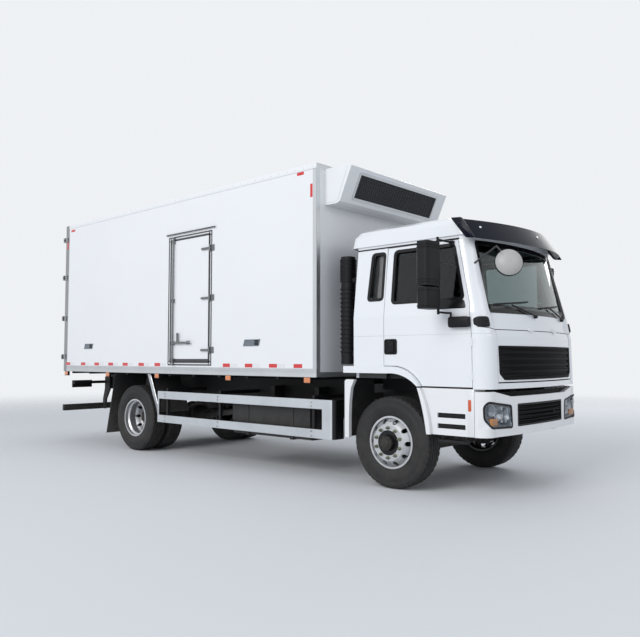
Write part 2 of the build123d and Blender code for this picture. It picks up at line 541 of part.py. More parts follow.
LOCK_R, LOCK_OUT = 13, 27  # lock rods and how far their centres stand off the door
for side, name in zip(SIDES, ("right", "left")):
    with BuildPart() as rear_door:
        outer = (BOX_REAR, BOX_REAR + BOX_WALL)
        slab(outer, across(side, MEET_GAP, BOX_HALF - POST_W - LEAF_GAP),
             (BOX_Z + SILL_H + LEAF_GAP, BOX_TOP - HEADER_H - LEAF_GAP))
        for lock_y in (180, 760):
            rod((BOX_REAR - LOCK_OUT, side * lock_y, BOX_Z + SILL_H + 8), (0, 0, 1),
                BOX_TOP - HEADER_H - BOX_Z - SILL_H - 16, LOCK_R)
            for z in (BOX_Z + SILL_H + 40, 1700, 2500, 3300, BOX_TOP - HEADER_H - 40):
                slab((BOX_REAR - LOCK_OUT, BOX_REAR + 1), across(side, lock_y - 30, lock_y + 30),
                     (z - 25, z + 25))
            slab((BOX_REAR - 42, BOX_REAR - LOCK_OUT + 4), across(side, lock_y, lock_y + 320), (1588, 1618))
        door_knuckle(REAR_AXIS[0], side * REAR_AXIS[1], REAR_HINGES,
                     ((REAR_AXIS[0] - 4, REAR_AXIS[0] + 4), across(side, BOX_HALF - 100, BOX_HALF + HINGE_OUT)))
        for z in REAR_HINGES:
            slab((REAR_AXIS[0] - 4, BOX_REAR + 1), across(side, BOX_HALF - 180, BOX_HALF - 90),
                 (z - 15, z + 15))
    save(rear_door, f"rear_door_{name}")

with BuildPart() as side_door:
    slab((SIDE_DOOR[0] + LEAF_SWING_GAP, SIDE_DOOR[1] - LEAF_GAP), (-BOX_HALF, -INNER_HALF),
         (SIDE_DOOR_Z[0] + LEAF_GAP, SIDE_DOOR_Z[1] - LEAF_GAP))
    lock_x = FA - 3960
    rod((lock_x, -BOX_HALF - LOCK_OUT, SIDE_DOOR_Z[0] + 8), (0, 0, 1),
        SIDE_DOOR_Z[1] - SIDE_DOOR_Z[0] - 16, LOCK_R)
    for z in (SIDE_DOOR_Z[0] + 40, 1700, 2340, SIDE_DOOR_Z[1] - 45):
        slab((lock_x - 30, lock_x + 30), (-BOX_HALF - LOCK_OUT, -BOX_HALF + 1), (z - 28, z + 28))
    slab((lock_x, lock_x + 410), (-BOX_HALF - 42, -BOX_HALF - LOCK_OUT + 4), (1688, 1718))
    slab((lock_x + 120, lock_x + 150), (-BOX_HALF - 42, -BOX_HALF - LOCK_OUT + 4), (1700, 1850))
    slab((lock_x + 340, lock_x + 400), (-BOX_HALF - LOCK_OUT, -BOX_HALF + 1), (1680, 1730))
    door_knuckle(SIDE_AXIS[0], SIDE_AXIS[1], SIDE_HINGES,
                 ((SIDE_DOOR[1] - 190, SIDE_DOOR[1]), (SIDE_AXIS[1] - 4, SIDE_AXIS[1] + 4)))
    for z in SIDE_HINGES:
        slab((SIDE_DOOR[1] - 190, SIDE_DOOR[1] - 100), (SIDE_AXIS[1], -BOX_HALF + 1), (z - 15, z + 15))
save(side_door, "side_door")

# Cooling unit on the box's nose, its grille and the evaporator inside
UNIT_HALF, UNIT_GRILLE_HALF = 1090, 871
UNIT_FACE = ((FA - 600, 3835), (FA - 790, 3420))
with BuildPart() as cooling_unit:
    side_prism([(BOX_FRONT + SEAT, 3400), (BOX_FRONT + SEAT, 3860), (FA - 640, 3860), UNIT_FACE[0],
                UNIT_FACE[1], (FA - 840, 3400)], (-UNIT_HALF, UNIT_HALF))
    face_mid = (Vector(UNIT_FACE[0][0], 0, UNIT_FACE[0][1]) + Vector(UNIT_FACE[1][0], 0, UNIT_FACE[1][1])) / 2
    face_plane = Plane(origin=face_mid,
                       x_dir=(0, 1, 0), z_dir=(415, 0, -190))
    with BuildSketch(face_plane):
        RectangleRounded(2 * UNIT_GRILLE_HALF, 320, 15)
    extrude(amount=-60, mode=Mode.SUBTRACT)
save(cooling_unit, "cooling_unit")

with BuildPart() as cooling_grille:
    with BuildSketch(face_plane.offset(-14)):
        RectangleRounded(2 * (UNIT_GRILLE_HALF - SEAT), 320 - 2 * SEAT, 15)
        RectangleRounded(2 * UNIT_GRILLE_HALF - 50, 280, 10, mode=Mode.SUBTRACT)
        with GridLocations(56, 0, 31, 1):
            Rectangle(8, 310)
        with GridLocations(0, 56, 1, 5):
            Rectangle(2 * UNIT_GRILLE_HALF - 20, 8)
    extrude(amount=8)
save(cooling_grille, "cooling_grille")

with BuildPart() as evaporator:
    side_prism([(BOX_FRONT - BOX_WALL - SEAT, 3500), (BOX_FRONT - BOX_WALL - 330, 3560),
                (BOX_FRONT - BOX_WALL - 450, 3640), (BOX_FRONT - BOX_WALL - 450, BOX_TOP - BOX_WALL - SEAT),
                (BOX_FRONT - BOX_WALL - SEAT, BOX_TOP - BOX_WALL - SEAT)], (-760, 760))
save(evaporator, "evaporator")


# Bumper, headlamps and step boxes, all on the frame
BUMPER_Z, BUMPER_MID_TOP, BUMPER_TOP, BUMPER_T = 655, 1065, 1125, 50
HEADLAMP_Z, HEADLAMP_Y = (742, 1030), 695
INTAKE_Z, INTAKE_HALF, DIP_HALF, BRACKET_Z = (742, 985), 565, (690, 1000), (805, 875)


def bumper_outline(z, inset):
    """Plan of the bumper, brought in by inset: a shallow bow between two tight corners."""
    half, back = 1154 - inset, FA + 1080
    corner, nose = (FA + 1225 - inset, 985 - 0.6 * inset), FA + 1292 - inset
    straight = FA + 1100
    with BuildSketch(Plane.XY.offset(z)) as outline:
        with BuildLine():
            Polyline((straight, -half), (back, -half), (back, half), (straight, half))
            TangentArc((straight, -half), (corner[0], -corner[1]), tangent=(1, 0))
            TangentArc((straight, half), corner, tangent=(1, 0))
            ThreePointArc((corner[0], -corner[1]), (nose, 0), corner)
        make_face()
    return outline.sketch


def bumper_band(z, outer, inner):
    """The bumper's skin between two depths, over the heights z."""
    with BuildPart() as band:
        extrude(bumper_outline(z[0], outer), amount=z[1] - z[0])
        extrude(bumper_outline(z[0] - 1, inner), amount=z[1] - z[0] + 2, mode=Mode.SUBTRACT)
    return band.part


bumper_skin = bumper_band((BUMPER_Z, BUMPER_TOP), 0, BUMPER_T)
lamp_skin = bumper_band((HEADLAMP_Z[0] + SEAT, HEADLAMP_Z[1] - SEAT), 4, BUMPER_T + 20)
intake_skin = bumper_band((INTAKE_Z[0] + SEAT, INTAKE_Z[1] - SEAT), 8, 26)
slot_skin = bumper_band((BUMPER_MID_TOP - 30, BUMPER_TOP - 10), BUMPER_T + SEAT, BUMPER_T + 10)
FORWARD = (FA + 1130, FA + 1400)  # reaches past the bumper's nose
with BuildPart() as bumper:
    add(bumper_skin)
    front_prism([(-DIP_HALF[1], BUMPER_TOP + 1), (-DIP_HALF[1], BUMPER_TOP), (-DIP_HALF[0], BUMPER_MID_TOP),
                 (DIP_HALF[0], BUMPER_MID_TOP), (DIP_HALF[1], BUMPER_TOP), (DIP_HALF[1], BUMPER_TOP + 1)],
                FORWARD, Mode.SUBTRACT)
    slab(FORWARD, (-INTAKE_HALF, INTAKE_HALF), INTAKE_Z, Mode.SUBTRACT)
    for side in SIDES:
        slab(FORWARD, across(side, HEADLAMP_Y, 1200), HEADLAMP_Z, Mode.SUBTRACT)
        slab((HORN_X + SEAT, FA + 1250), across(side, 585, 645), BRACKET_Z)
        slab((HORN_X + SEAT, HORN_X + 14), across(side, 365, 645), BRACKET_Z)
save(bumper, "bumper")

with BuildPart() as slot_back:
    add(slot_skin)
    slab(FORWARD, (-940, 940), (BUMPER_Z, BUMPER_TOP), Mode.INTERSECT)
with BuildPart() as bumper_grille:
    add(intake_skin)
    for low in range(INTAKE_Z[0] + 22, INTAKE_Z[1] - 30, 42):
        slab(FORWARD, (25 - INTAKE_HALF, INTAKE_HALF - 25), (low, low + 26), Mode.SUBTRACT)
    slab(FORWARD, (SEAT - INTAKE_HALF, INTAKE_HALF - SEAT), (BUMPER_Z, BUMPER_TOP), Mode.INTERSECT)
    add(slot_back.part)
save(bumper_grille, "bumper_grille")

with BuildPart() as headlamps:
    add(lamp_skin)
    slab((FA + 1000, FORWARD[0] + SEAT), (-1200, 1200), (BUMPER_Z, BUMPER_TOP), Mode.SUBTRACT)
    slab((FA + 1000, FA + 1400), (-HEADLAMP_Y - SEAT, HEADLAMP_Y + SEAT), (BUMPER_Z, BUMPER_TOP), Mode.SUBTRACT)
save(headlamps, "headlamps")

STEP_X, STEP_Z = (FA + 605, FA + 1068), (655, 1150)
with BuildPart() as step_boxes:
    for side in SIDES:
        slab(STEP_X, across(side, 900, CAB_HALF), STEP_Z)
        for low, high in ((725, 776), (838, 890)):
            slab((STEP_X[0] + 20, FA + 965), across(side, CAB_HALF - 110, CAB_HALF + 1), (low, high),
                 Mode.SUBTRACT)
        with BuildSketch(Plane.XZ.offset(-max(across(side, 1120, 1196)))):
            with BuildLine():
                ThreePointArc((FA + 434, STEP_Z[1]), (FA + 507, 965), (FA + 562, STEP_Z[0]))
                Polyline((FA + 562, STEP_Z[0]), (FA + 515, STEP_Z[0]))
                ThreePointArc((FA + 515, STEP_Z[0]), (FA + 462, 940), (FA + 398, STEP_Z[1]))
                Polyline((FA + 398, STEP_Z[1]), (FA + 434, STEP_Z[1]))
            make_face()
        extrude(amount=76)
        prism(Plane.XZ.offset(-max(across(side, 1120, CAB_HALF))),
              [(FA + 430, STEP_Z[1]), (STEP_X[0] + 5, STEP_Z[1]), (STEP_X[0] + 5, STEP_Z[0]),
               (FA + 556, STEP_Z[0]), (FA + 503, 965)], CAB_HALF - 1120)
        slab((FA + 640, FA + 940), across(side, 1020, 1130), (575, 600))
        for station in (FA + 660, FA + 920):
            slab((station - 12, station + 12), across(side, 1060, 1090), (598, STEP_Z[0] + 1))
        slab((FA + 850, FA + 930), across(side, RAIL_Y + SEAT, 905), (RAIL_Z + 20, RAIL_Z + 100))
        arch_back = SHIELD_X + SEAT
        side_prism([(arch_back, 540), (arch_back, 1200), (FA - 600, 1222), (FA - 480, 1222), (FA - 530, 1120),
                    (FA - 552, 960), (FA - 560, 780), (FA - 560, 540)], across(side, 1150, 1200))
save(step_boxes, "step_boxes")

# Cab front: plan outlines at falling heights, each of straight sides, tight corners and a bow
# height, half width, end of the straight side, corner where the bow starts (x, y), nose
CAB_ROWS = ((CAB_Z, CAB_HALF, 1075, 1240, 930, 1335),
            (CREASE_Z, CAB_HALF, 1062, 1228, 930, 1325),
            (BELT_Z, CAB_HALF, 1030, 1158, 928, 1285),
            (CAB_TOP_Z, CAB_TOP_HALF, 850, 978, 903, 1115))
FORM_BACK = FA + 300


def front_outline(row, inset, back=FORM_BACK):
    """One plan outline of the cab's front, brought in by inset."""
    z, half, side_end, corner_x, corner_y, nose = row
    half -= inset
    corner = (FA + corner_x - 0.85 * inset, corner_y - 0.55 * inset)
    with BuildSketch(Plane.XY.offset(z)) as outline:
        with BuildLine():
            Polyline((FA + side_end, -half), (back, -half), (back, half), (FA + side_end, half))
            TangentArc((FA + side_end, -half), (corner[0], -corner[1]), tangent=(1, 0))
            TangentArc((FA + side_end, half), corner, tangent=(1, 0))
            ThreePointArc((corner[0], -corner[1]), (FA + nose - inset, 0), corner)
        make_face()
    return outline.sketch


def front_block(inset, mode=Mode.ADD):
    """The cab's front as a block, brought in by inset."""
    loft([front_outline(row, inset) for row in CAB_ROWS], ruled=True, mode=mode)


def front_skin(outer, inner):
    """The cab front's skin between two depths."""
    with BuildPart() as skin:
        front_block(outer)
        front_block(inner, Mode.SUBTRACT)
    return skin.part


# Door seams in the side view: from the sill up, leaning back with the pillar
SEAM = ((FA + 1055, CAB_Z), (FA + 1048, CREASE_Z), (FA + 1022, BELT_Z + 110), (FA + 845, CAB_TOP_Z))
SCREEN = [(-SCREEN_HALF, SCREEN_Z), (SCREEN_HALF, SCREEN_Z), (SCREEN_TOP_HALF, SCREEN_TOP),
          (-SCREEN_TOP_HALF, SCREEN_TOP)]
LID_GRILLE = [(-830, 1245), (830, 1245), (905, 1310), (912, 1600), (-912, 1600), (-905, 1310)]


def front_slice(points, inset=0, round_r=0, mode=Mode.ADD):
    """An outline in (y, z), brought in by inset, pushed along the truck through the cab's front."""
    with BuildSketch(Plane.YZ.offset(FA + 760)) as outline:
        with BuildLine():
            Polyline(*points, close=True)
        make_face()
        if round_r:
            fillet(outline.vertices(), round_r)
        if inset:
            offset(amount=-inset, kind=Kind.INTERSECTION, mode=Mode.REPLACE)
    extrude(outline.sketch, amount=640, mode=mode)


def front_piece(outer, inner, points, inset=0, round_r=0):
    """What lies of the cab front's skin within an outline in the front view."""
    with BuildPart() as piece:
        add(front_skin(outer, inner))
        front_slice(points, inset, round_r, Mode.INTERSECT)
    return piece.part


CAB_HINGES = (1290, 1640)
CAB_AXIS = (FA + 1052, CAB_HALF + 1)
LID_HINGES, LID_BARREL_R, LID_PIN_R = (-300, 300), 8, 4
LID_BARREL, LID_KNUCKLE = 80, 24  # lengths of a whole hinge and of its middle knuckle


def lid_room(y, half, reach, mode=Mode.SUBTRACT):
    """A square hole round the lid's axis, for the other side's knuckles."""
    slab((LID_AXIS_X - reach, LID_AXIS_X + reach), (y - half, y + half),
         (LID_AXIS_Z - reach, LID_AXIS_Z + reach), mode)


cab_skin = front_skin(0, CAB_WALL)
with BuildPart() as cab_front:
    add(cab_skin)
    behind = [(x + DOOR_GAP / 2, z) for x, z in SEAM]
    side_prism([(FORM_BACK - 1, CAB_Z - 1), (behind[0][0], CAB_Z - 1), *behind[1:3],
                (behind[3][0], CAB_TOP_Z + 1),
                (FORM_BACK - 1, CAB_TOP_Z + 1)], (-CAB_HALF - 1, CAB_HALF + 1), Mode.SUBTRACT)
    front_slice(SCREEN, round_r=SCREEN_ROUND, mode=Mode.SUBTRACT)
    slab((FA + 1130, FA + 1400), (-LID_HALF - 5, LID_HALF + 5), (LID_Z - 14, LID_TOP + 8), Mode.SUBTRACT)
    slab((FA + 1110, FA + 1245), (-860, 860), (CAB_Z + 15, CAB_Z + 50))
    slab((FA + 1240, FA + 1290), (-500, 500), (CAB_Z + 15, CAB_Z + 50))
    for y in LID_HINGES:
        rod((LID_AXIS_X, y - LID_BARREL / 2, LID_AXIS_Z), (0, 1, 0), LID_BARREL, LID_BARREL_R)
        slab((LID_AXIS_X - 24, LID_AXIS_X - 1), (y - LID_BARREL / 2, y + LID_BARREL / 2),
             (LID_AXIS_Z, LID_AXIS_Z + 30))
        lid_room(y, LID_KNUCKLE / 2 + RUN, LID_BARREL_R + 2)
        rod((LID_AXIS_X, y - LID_BARREL, LID_AXIS_Z), (0, 1, 0), 2 * LID_BARREL, LID_PIN_R + RUN, Mode.SUBTRACT)
    for side in SIDES:
        fixed_knuckles(CAB_AXIS[0], side * CAB_AXIS[1], CAB_HINGES,
                       ((CAB_AXIS[0], CAB_AXIS[0] + 30), across(side, CAB_HALF - 20, CAB_HALF + 2)))
save(cab_front, "cab_front")

lid_recess = front_piece(-5, 22, LID_GRILLE)
with BuildPart() as front_lid:
    add(cab_skin)
    slab((FA + 1130, FA + 1400), (-LID_HALF, LID_HALF), (LID_Z, LID_TOP), Mode.INTERSECT)
    add(lid_recess, mode=Mode.SUBTRACT)
    for y in LID_HINGES:
        lid_room(y, LID_BARREL / 2 + 3, LID_BARREL_R + 8)
        rod((LID_AXIS_X, y - LID_KNUCKLE / 2, LID_AXIS_Z), (0, 1, 0), LID_KNUCKLE, LID_BARREL_R)
        rod((LID_AXIS_X, y - LID_BARREL / 2, LID_AXIS_Z), (0, 1, 0), LID_BARREL, LID_PIN_R)
        slab((LID_AXIS_X - 26, LID_AXIS_X - 1), (y - LID_KNUCKLE / 2, y + LID_KNUCKLE / 2),
             (LID_AXIS_Z - 30, LID_AXIS_Z))
save(front_lid, "front_lid")

with BuildPart() as grille_slots:
    for low in (1275, 1345, 1415, 1485, 1555):
        half = 885 - (1600 - low) * 0.15
        slab((FA + 1000, FA + 1400), (-half, half), (low, low + 34))
    add(front_skin(-5, 14), mode=Mode.INTERSECT)
grille_skin = front_piece(2, 22 - SEAT, LID_GRILLE, inset=SEAT)
with BuildPart() as front_grille:
    add(grille_skin)
    add(grille_slots.part, mode=Mode.SUBTRACT)
save(front_grille, "front_grille")


# Cab sides in the front view: upright to the belt, then leaning in
def side_profile(side, x, outer, inner, low, top=CAB_TOP_Z, mode=Mode.ADD):
    """The side wall between two depths, run along the truck between the stations x."""
    lean = (CAB_HALF - CAB_TOP_HALF) / (CAB_TOP_Z - BELT_Z)
    shift = lean * (top - BELT_Z)
    front_prism([(side * (CAB_HALF - outer), low), (side * (CAB_HALF - outer), BELT_Z),
                 (side * (CAB_HALF - outer - shift), top), (side * (CAB_HALF - inner - shift), top),
                 (side * (CAB_HALF - inner), BELT_Z), (side * (CAB_HALF - inner), low)], x, mode)


ARCH_TOP, ARCH_LIP = 1380, 1300
QUARTER = [(FA - 330, 2150), (FA - 120, 2150), (FA - 120, 2700), (FA - 300, 2700)]
DOOR_WINDOW = [(FA + 20, 2100), (FA + 950, 2100), (FA + 800, 2705), (FA + 20, 2705)]

with BuildPart() as cab_sides:
    for side in SIDES:
        side_profile(side, (CAB_BACK, DOOR_BACK - DOOR_GAP / 2), 0, CAB_PANEL, ARCH_LIP)
        slab((CAB_BACK, DOOR_BACK - DOOR_GAP / 2), across(side, CAB_HALF - CAB_PANEL, CAB_HALF - 50),
             (FLOOR_Z, ARCH_LIP + 1))
        side_prism(QUARTER, across(side, 900, CAB_HALF + 1), Mode.SUBTRACT, QUARTER_ROUND)
        with BuildSketch(Plane.XZ.offset(-max(across(side, 1062, 1196)))):
            with BuildLine():
                Polyline((FA - 650, ARCH_LIP), (FA - 650, ARCH_TOP), (FA + 60, ARCH_TOP))
                ThreePointArc((FA + 60, ARCH_TOP), (FA + 285, 1310), (FA + 427, DOOR_BOTTOM))
                Line((FA + 427, DOOR_BOTTOM), (FA + 392, DOOR_BOTTOM))
                ThreePointArc((FA + 392, DOOR_BOTTOM), (FA + 235, 1265), (FA - 10, ARCH_LIP))
                Line((FA - 10, ARCH_LIP), (FA - 650, ARCH_LIP))
            make_face()
        extrude(amount=134)
save(cab_sides, "cab_sides")

with BuildPart() as cab_rear_wall:
    inner_low, inner_top = CAB_HALF - CAB_PANEL - SEAT, CAB_TOP_HALF - CAB_PANEL - SEAT
    front_prism([(-inner_low, FLOOR_Z + FLOOR_T + SEAT), (inner_low, FLOOR_Z + FLOOR_T + SEAT),
                 (inner_low, BELT_Z), (inner_top, CAB_TOP_Z), (-inner_top, CAB_TOP_Z), (-inner_low, BELT_Z)],
                (CAB_BACK, CAB_BACK + CAB_WALL))
    slab((CAB_BACK - 1, CAB_BACK + CAB_WALL + 1), (-TUNNEL_HALF - SEAT, TUNNEL_HALF + SEAT),
         (FLOOR_Z, TUNNEL_Z + SEAT), Mode.SUBTRACT)
save(cab_rear_wall, "cab_rear_wall")

with BuildPart() as cab_floor:
    half, door_half = CAB_HALF - CAB_PANEL - SEAT, CAB_HALF - DOOR_T - 12
    prism(Plane.XY.offset(FLOOR_Z),
          [(CAB_BACK, -half), (DOOR_BACK - 12, -half), (DOOR_BACK - 12, -door_half), (FA + 1040, -door_half),
           (FA + 1165, -870), (FA + 1165, 870), (FA + 1040, door_half), (DOOR_BACK - 12, door_half),
           (DOOR_BACK - 12, half), (CAB_BACK, half)], FLOOR_T)
    tunnel_room = TUNNEL_HALF + SEAT
    slab((CAB_BACK - 1, TUNNEL_FRONT + SEAT), (-tunnel_room, tunnel_room), (FLOOR_Z - 1, FLOOR_Z + FLOOR_T + 1),
         Mode.SUBTRACT)
    side_prism([(CAB_BACK, FLOOR_Z), (CAB_BACK, TUNNEL_Z), (TUNNEL_FRONT - 90, TUNNEL_Z),
                (TUNNEL_FRONT, FLOOR_Z + FLOOR_T), (TUNNEL_FRONT, FLOOR_Z)], (-TUNNEL_HALF, TUNNEL_HALF))
    side_prism([(CAB_BACK - 1, FLOOR_Z - 1), (CAB_BACK - 1, TUNNEL_Z - TUNNEL_T),
                (TUNNEL_FRONT - 90 - TUNNEL_T, TUNNEL_Z - TUNNEL_T),
                (TUNNEL_FRONT - TUNNEL_T, FLOOR_Z + FLOOR_T), (TUNNEL_FRONT - TUNNEL_T, FLOOR_Z - 1)],
               (-TUNNEL_HALF + TUNNEL_T, TUNNEL_HALF - TUNNEL_T), Mode.SUBTRACT)
    slab((FA + 1115, FA + 1165), (-860, 860), (CAB_Z + 50 + SEAT, FLOOR_Z + 1))
    for side in SIDES:
        side_prism([(FA + 930, FLOOR_Z + 1), (FA + 930, 1120), (PIVOT_X - 55, PIVOT_Z - 15),
                    (PIVOT_X, PIVOT_Z - 40), (PIVOT_X + 40, PIVOT_Z), (PIVOT_X + 10, PIVOT_Z + 45),
                    (FA + 1010, 1140), (FA + 1010, FLOOR_Z + 1)], across(side, RAIL_Y + 30, RAIL_Y + 70))
        rod((PIVOT_X, side * (RAIL_Y + 20), PIVOT_Z), (0, side, 0), 60, PIVOT_R + RUN, Mode.SUBTRACT)
save(cab_floor, "cab_floor")

# height, back, front (x), half width and corner radius of the roof cap's plan at rising heights
ROOF_ROWS = ((ROOF_Z, -645, 985, 1066, 90), (2925, -628, 925, 1058, 110), (2985, -590, 865, 1020, 130),
             (3025, -520, 775, 930, 140), (ROOF_TOP, -380, 600, 720, 150))


def roof_form(inset):
    """The roof cap as a block, brought in by inset."""
    outlines = []
    for z, back, front, half, corner in ROOF_ROWS:
        with BuildSketch(Plane.XY.offset(z + (inset if z == ROOF_Z else 0))) as outline:
            with Locations((FA + (back + front) / 2, 0)):
                RectangleRounded(front - back - 2 * inset, 2 * (half - inset), corner)
        outlines.append(outline.sketch)
    with BuildPart() as form:
        loft(outlines, ruled=True)
    return form.part


with BuildPart() as cab_roof:
    rim_row = (CAB_TOP_Z + SEAT, *CAB_ROWS[-1][1:])
    extrude(front_outline(rim_row, 0, back=CAB_BACK), amount=ROOF_Z - CAB_TOP_Z)
    add(roof_form(0))
    extrude(front_outline(rim_row, 70, back=CAB_BACK + CAB_WALL), amount=ROOF_Z - CAB_TOP_Z + 12,
            mode=Mode.SUBTRACT)
    with BuildSketch(Plane.XY.offset(ROOF_Z + 11)):
        with Locations((FA + 215, 0)):
            RectangleRounded(1290, 1860, 120)
    with BuildSketch(Plane.XY.offset(ROOF_TOP - 60)):
        with Locations((FA + 125, 0)):
            RectangleRounded(820, 1280, 120)
    loft(ruled=True, mode=Mode.SUBTRACT)
save(cab_roof, "cab_roof")

def side_pane(side, points, round_r):
    """A pane in the side wall, following its lean, within an outline in the side view."""
    with BuildPart() as pane:
        side_profile(side, (CAB_BACK, FA + 1060), GLASS_DEPTH, GLASS_DEPTH + GLASS_T, BELT_Z - 100)
        with BuildSketch(Plane.XZ) as outline:
            with BuildLine():
                Polyline(*points, close=True)
            make_face()
            fillet(outline.vertices(), round_r)
            offset(amount=-SEAT, kind=Kind.INTERSECTION, mode=Mode.REPLACE)
        extrude(outline.sketch, amount=CAB_HALF, both=True, mode=Mode.INTERSECT)
    return pane.part


windscreen = front_piece(4, 4 + GLASS_T, SCREEN, inset=SEAT, round_r=SCREEN_ROUND)
quarter_panes = [side_pane(side, QUARTER, QUARTER_ROUND) for side in SIDES]
with BuildPart() as cab_glass:
    add(windscreen)
    add(quarter_panes)
save(cab_glass, "cab_glass")

# Sun visor: a bowed band, its lower edge forward of the upper one, on brackets off the roof
VISOR_T, VISOR_HALF = 18, 1118
# end and nose (x, z) of the upper and lower edge
VISOR_EDGES = (((1000, 2755), (1362, 2715)), ((850, 2975), (1205, 2950)))


def visor_form(inset, spare):
    """The block between the two bowed edges, brought in by inset and run past each edge by spare."""
    outlines = []
    lean = Vector(VISOR_EDGES[1][0][0] - VISOR_EDGES[0][0][0], 0, VISOR_EDGES[1][0][1] - VISOR_EDGES[0][0][1])
    for past, ((end_x, end_z), (nose_x, nose_z)) in zip((-spare, spare), VISOR_EDGES):
        along = Vector(nose_x - end_x, 0, nose_z - end_z)
        corner = Vector(FA + end_x, 0, end_z) + lean.normalized() * past
        plane = Plane(origin=corner, x_dir=along, z_dir=(-along.Z, 0, along.X))
        half, nose = VISOR_HALF - inset, along.length - inset
        with BuildSketch(plane) as outline:
            with BuildLine():
                ThreePointArc((0, -half), (nose, 0), (0, half))
                Line((0, half), (0, -half))
            make_face()
        outlines.append(outline.sketch)
    with BuildPart() as form:
        loft(outlines, ruled=True)
    return form.part


visor_block, visor_inside = visor_form(0, 0), visor_form(VISOR_T, 6)
with BuildPart() as visor_shell:
    add(visor_block)
    add(visor_inside, mode=Mode.SUBTRACT)
with BuildPart() as sun_visor:
    for y in (-700, 0, 700):
        slab((FA + 880, FA + 1420), (y - 14, y + 14), (2870, 2895))
    add(visor_block, mode=Mode.INTERSECT)
    add(roof_form(-SEAT), mode=Mode.SUBTRACT)
    add(visor_shell.part)
save(sun_visor, "sun_visor")

# Doors of the cab
for side, name in zip(SIDES, ("right", "left")):
    door_pane = side_pane(side, DOOR_WINDOW, WINDOW_ROUND)
    with BuildPart() as cab_door:
        side_profile(side, (FA - 100, FA + 1060), 0, DOOR_T, DOOR_BOTTOM - 10)
        gap = DOOR_GAP / 2
        seam = [(x - gap, z) for x, z in SEAM]
        with BuildSketch(Plane.XZ):
            with BuildLine():
                Polyline((FA + 433, DOOR_BOTTOM + 3), (seam[0][0], DOOR_BOTTOM + 3), seam[1], seam[2],
                         (seam[3][0] + 2, CAB_TOP_Z - DOOR_GAP), (DOOR_BACK + gap, CAB_TOP_Z - DOOR_GAP),
                         (DOOR_BACK + gap, ARCH_TOP + DOOR_GAP), (FA + 60, ARCH_TOP + DOOR_GAP))
                ThreePointArc((FA + 60, ARCH_TOP + DOOR_GAP), (FA + 290, 1315), (FA + 433, DOOR_BOTTOM + 3))
            make_face()
        extrude(amount=CAB_HALF + 1, both=True, mode=Mode.INTERSECT)
        side_prism(DOOR_WINDOW, across(side, 900, CAB_HALF + 1), Mode.SUBTRACT, WINDOW_ROUND)
        prism(Plane.XY.offset(CAB_Z), [(DOOR_BACK, side * (CAB_HALF - 20)), (DOOR_BACK, side * 900),
                                       (DOOR_BACK + 24, side * 900)], CAB_TOP_Z - CAB_Z, Mode.SUBTRACT)
        for z in CAB_HINGES:
            slab((CAB_AXIS[0] - HINGE_R - 3, CAB_AXIS[0] + 10),
                 across(side, CAB_AXIS[1] - HINGE_R - 3, CAB_AXIS[1] + 20),
                 (z - 47, z + 47), Mode.SUBTRACT)
        door_knuckle(CAB_AXIS[0], side * CAB_AXIS[1], CAB_HINGES,
                     ((CAB_AXIS[0] - 40, CAB_AXIS[0]), across(side, CAB_HALF - 18, CAB_HALF + 5)))
    save(cab_door, f"cab_door_{name}")

    with BuildPart() as door_glass:
        add(door_pane)
    save(door_glass, f"door_glass_{name}")

    pole = (FA + 780, side * 1350)
    with BuildPart() as bracket:
        slab((pole[0] - 25, pole[0] + 25), across(side, 1035, 1085), (2690, 2740))
        side_profile(side, (pole[0] - 26, pole[0] + 26), -SEAT, CAB_WALL, BELT_Z - 100, mode=Mode.SUBTRACT)
    with BuildPart() as mirror:
        y0 = CAB_HALF + SEAT
        for low, high in ((2225, 2690), (1985, 2205)):
            slab((FA + 645, FA + 800), across(side, 1310, 1570), (low, high))
        fillet(mirror.edges().filter_by(Axis.Z), 45)
        slab((FA + 820, FA + 1040), across(side, y0, y0 + 55), (1800, 1905))
        riser = (FA + 830, side * 1185)
        rod((*pole, 1930), (0, 0, 1), 818, 14)
        bent_bar(((*riser, 1880), (*riser, 1950), (pole[0], side * 1190, 1952), (*pole, 1954)), 11)
        rod((pole[0], side * 1065, 2722), (0, side, 0), 290, 11)
        add(bracket.part)
    save(mirror, f"mirror_{name}")

# Inside the cab
with BuildPart() as dashboard:
    side_prism([(FA + 700, TUNNEL_Z + SEAT), (FA + 760, 1900), (FA + 860, 1960), (FA + 1010, 1930),
                (FA + 1010, TUNNEL_Z + SEAT)], (-960, 960))
    wheel = Plane(origin=(FA + 620, 560, 1890), z_dir=(-0.45, 0, 0.89))
    with BuildSketch(wheel):
        Circle(228)
        Circle(200, mode=Mode.SUBTRACT)
        Rectangle(420, 34)
        Circle(62)
    extrude(amount=-26)
    rod((FA + 620, 560, 1890), (0.62, 0, -0.5), 230, 32)
save(dashboard, "dashboard")

with BuildPart() as seats:
    for side in SIDES:
        slab((FA - 60, FA + 360), across(side, 480, 930), (FLOOR_Z + FLOOR_T + SEAT, 1600))
        slab((FA - 110, FA + 410), across(side, 450, 960), (1600, 1760))
        side_prism([(FA - 110, 1700), (FA + 20, 1700), (FA - 60, 2420), (FA - 150, 2420)],
                   across(side, 460, 950))
save(seats, "seats")

with BuildPart() as intake_stack:
    slab((FA - 820, FA - 655), (-1075, -905), (1400, 2720))
    fillet(intake_stack.edges().filter_by(Axis.Z), 70)
    for z in (1500, 2400):
        slab((FA - 656, CAB_BACK - SEAT), (-1020, -960), (z, z + 50))
save(intake_stack, "intake_stack")

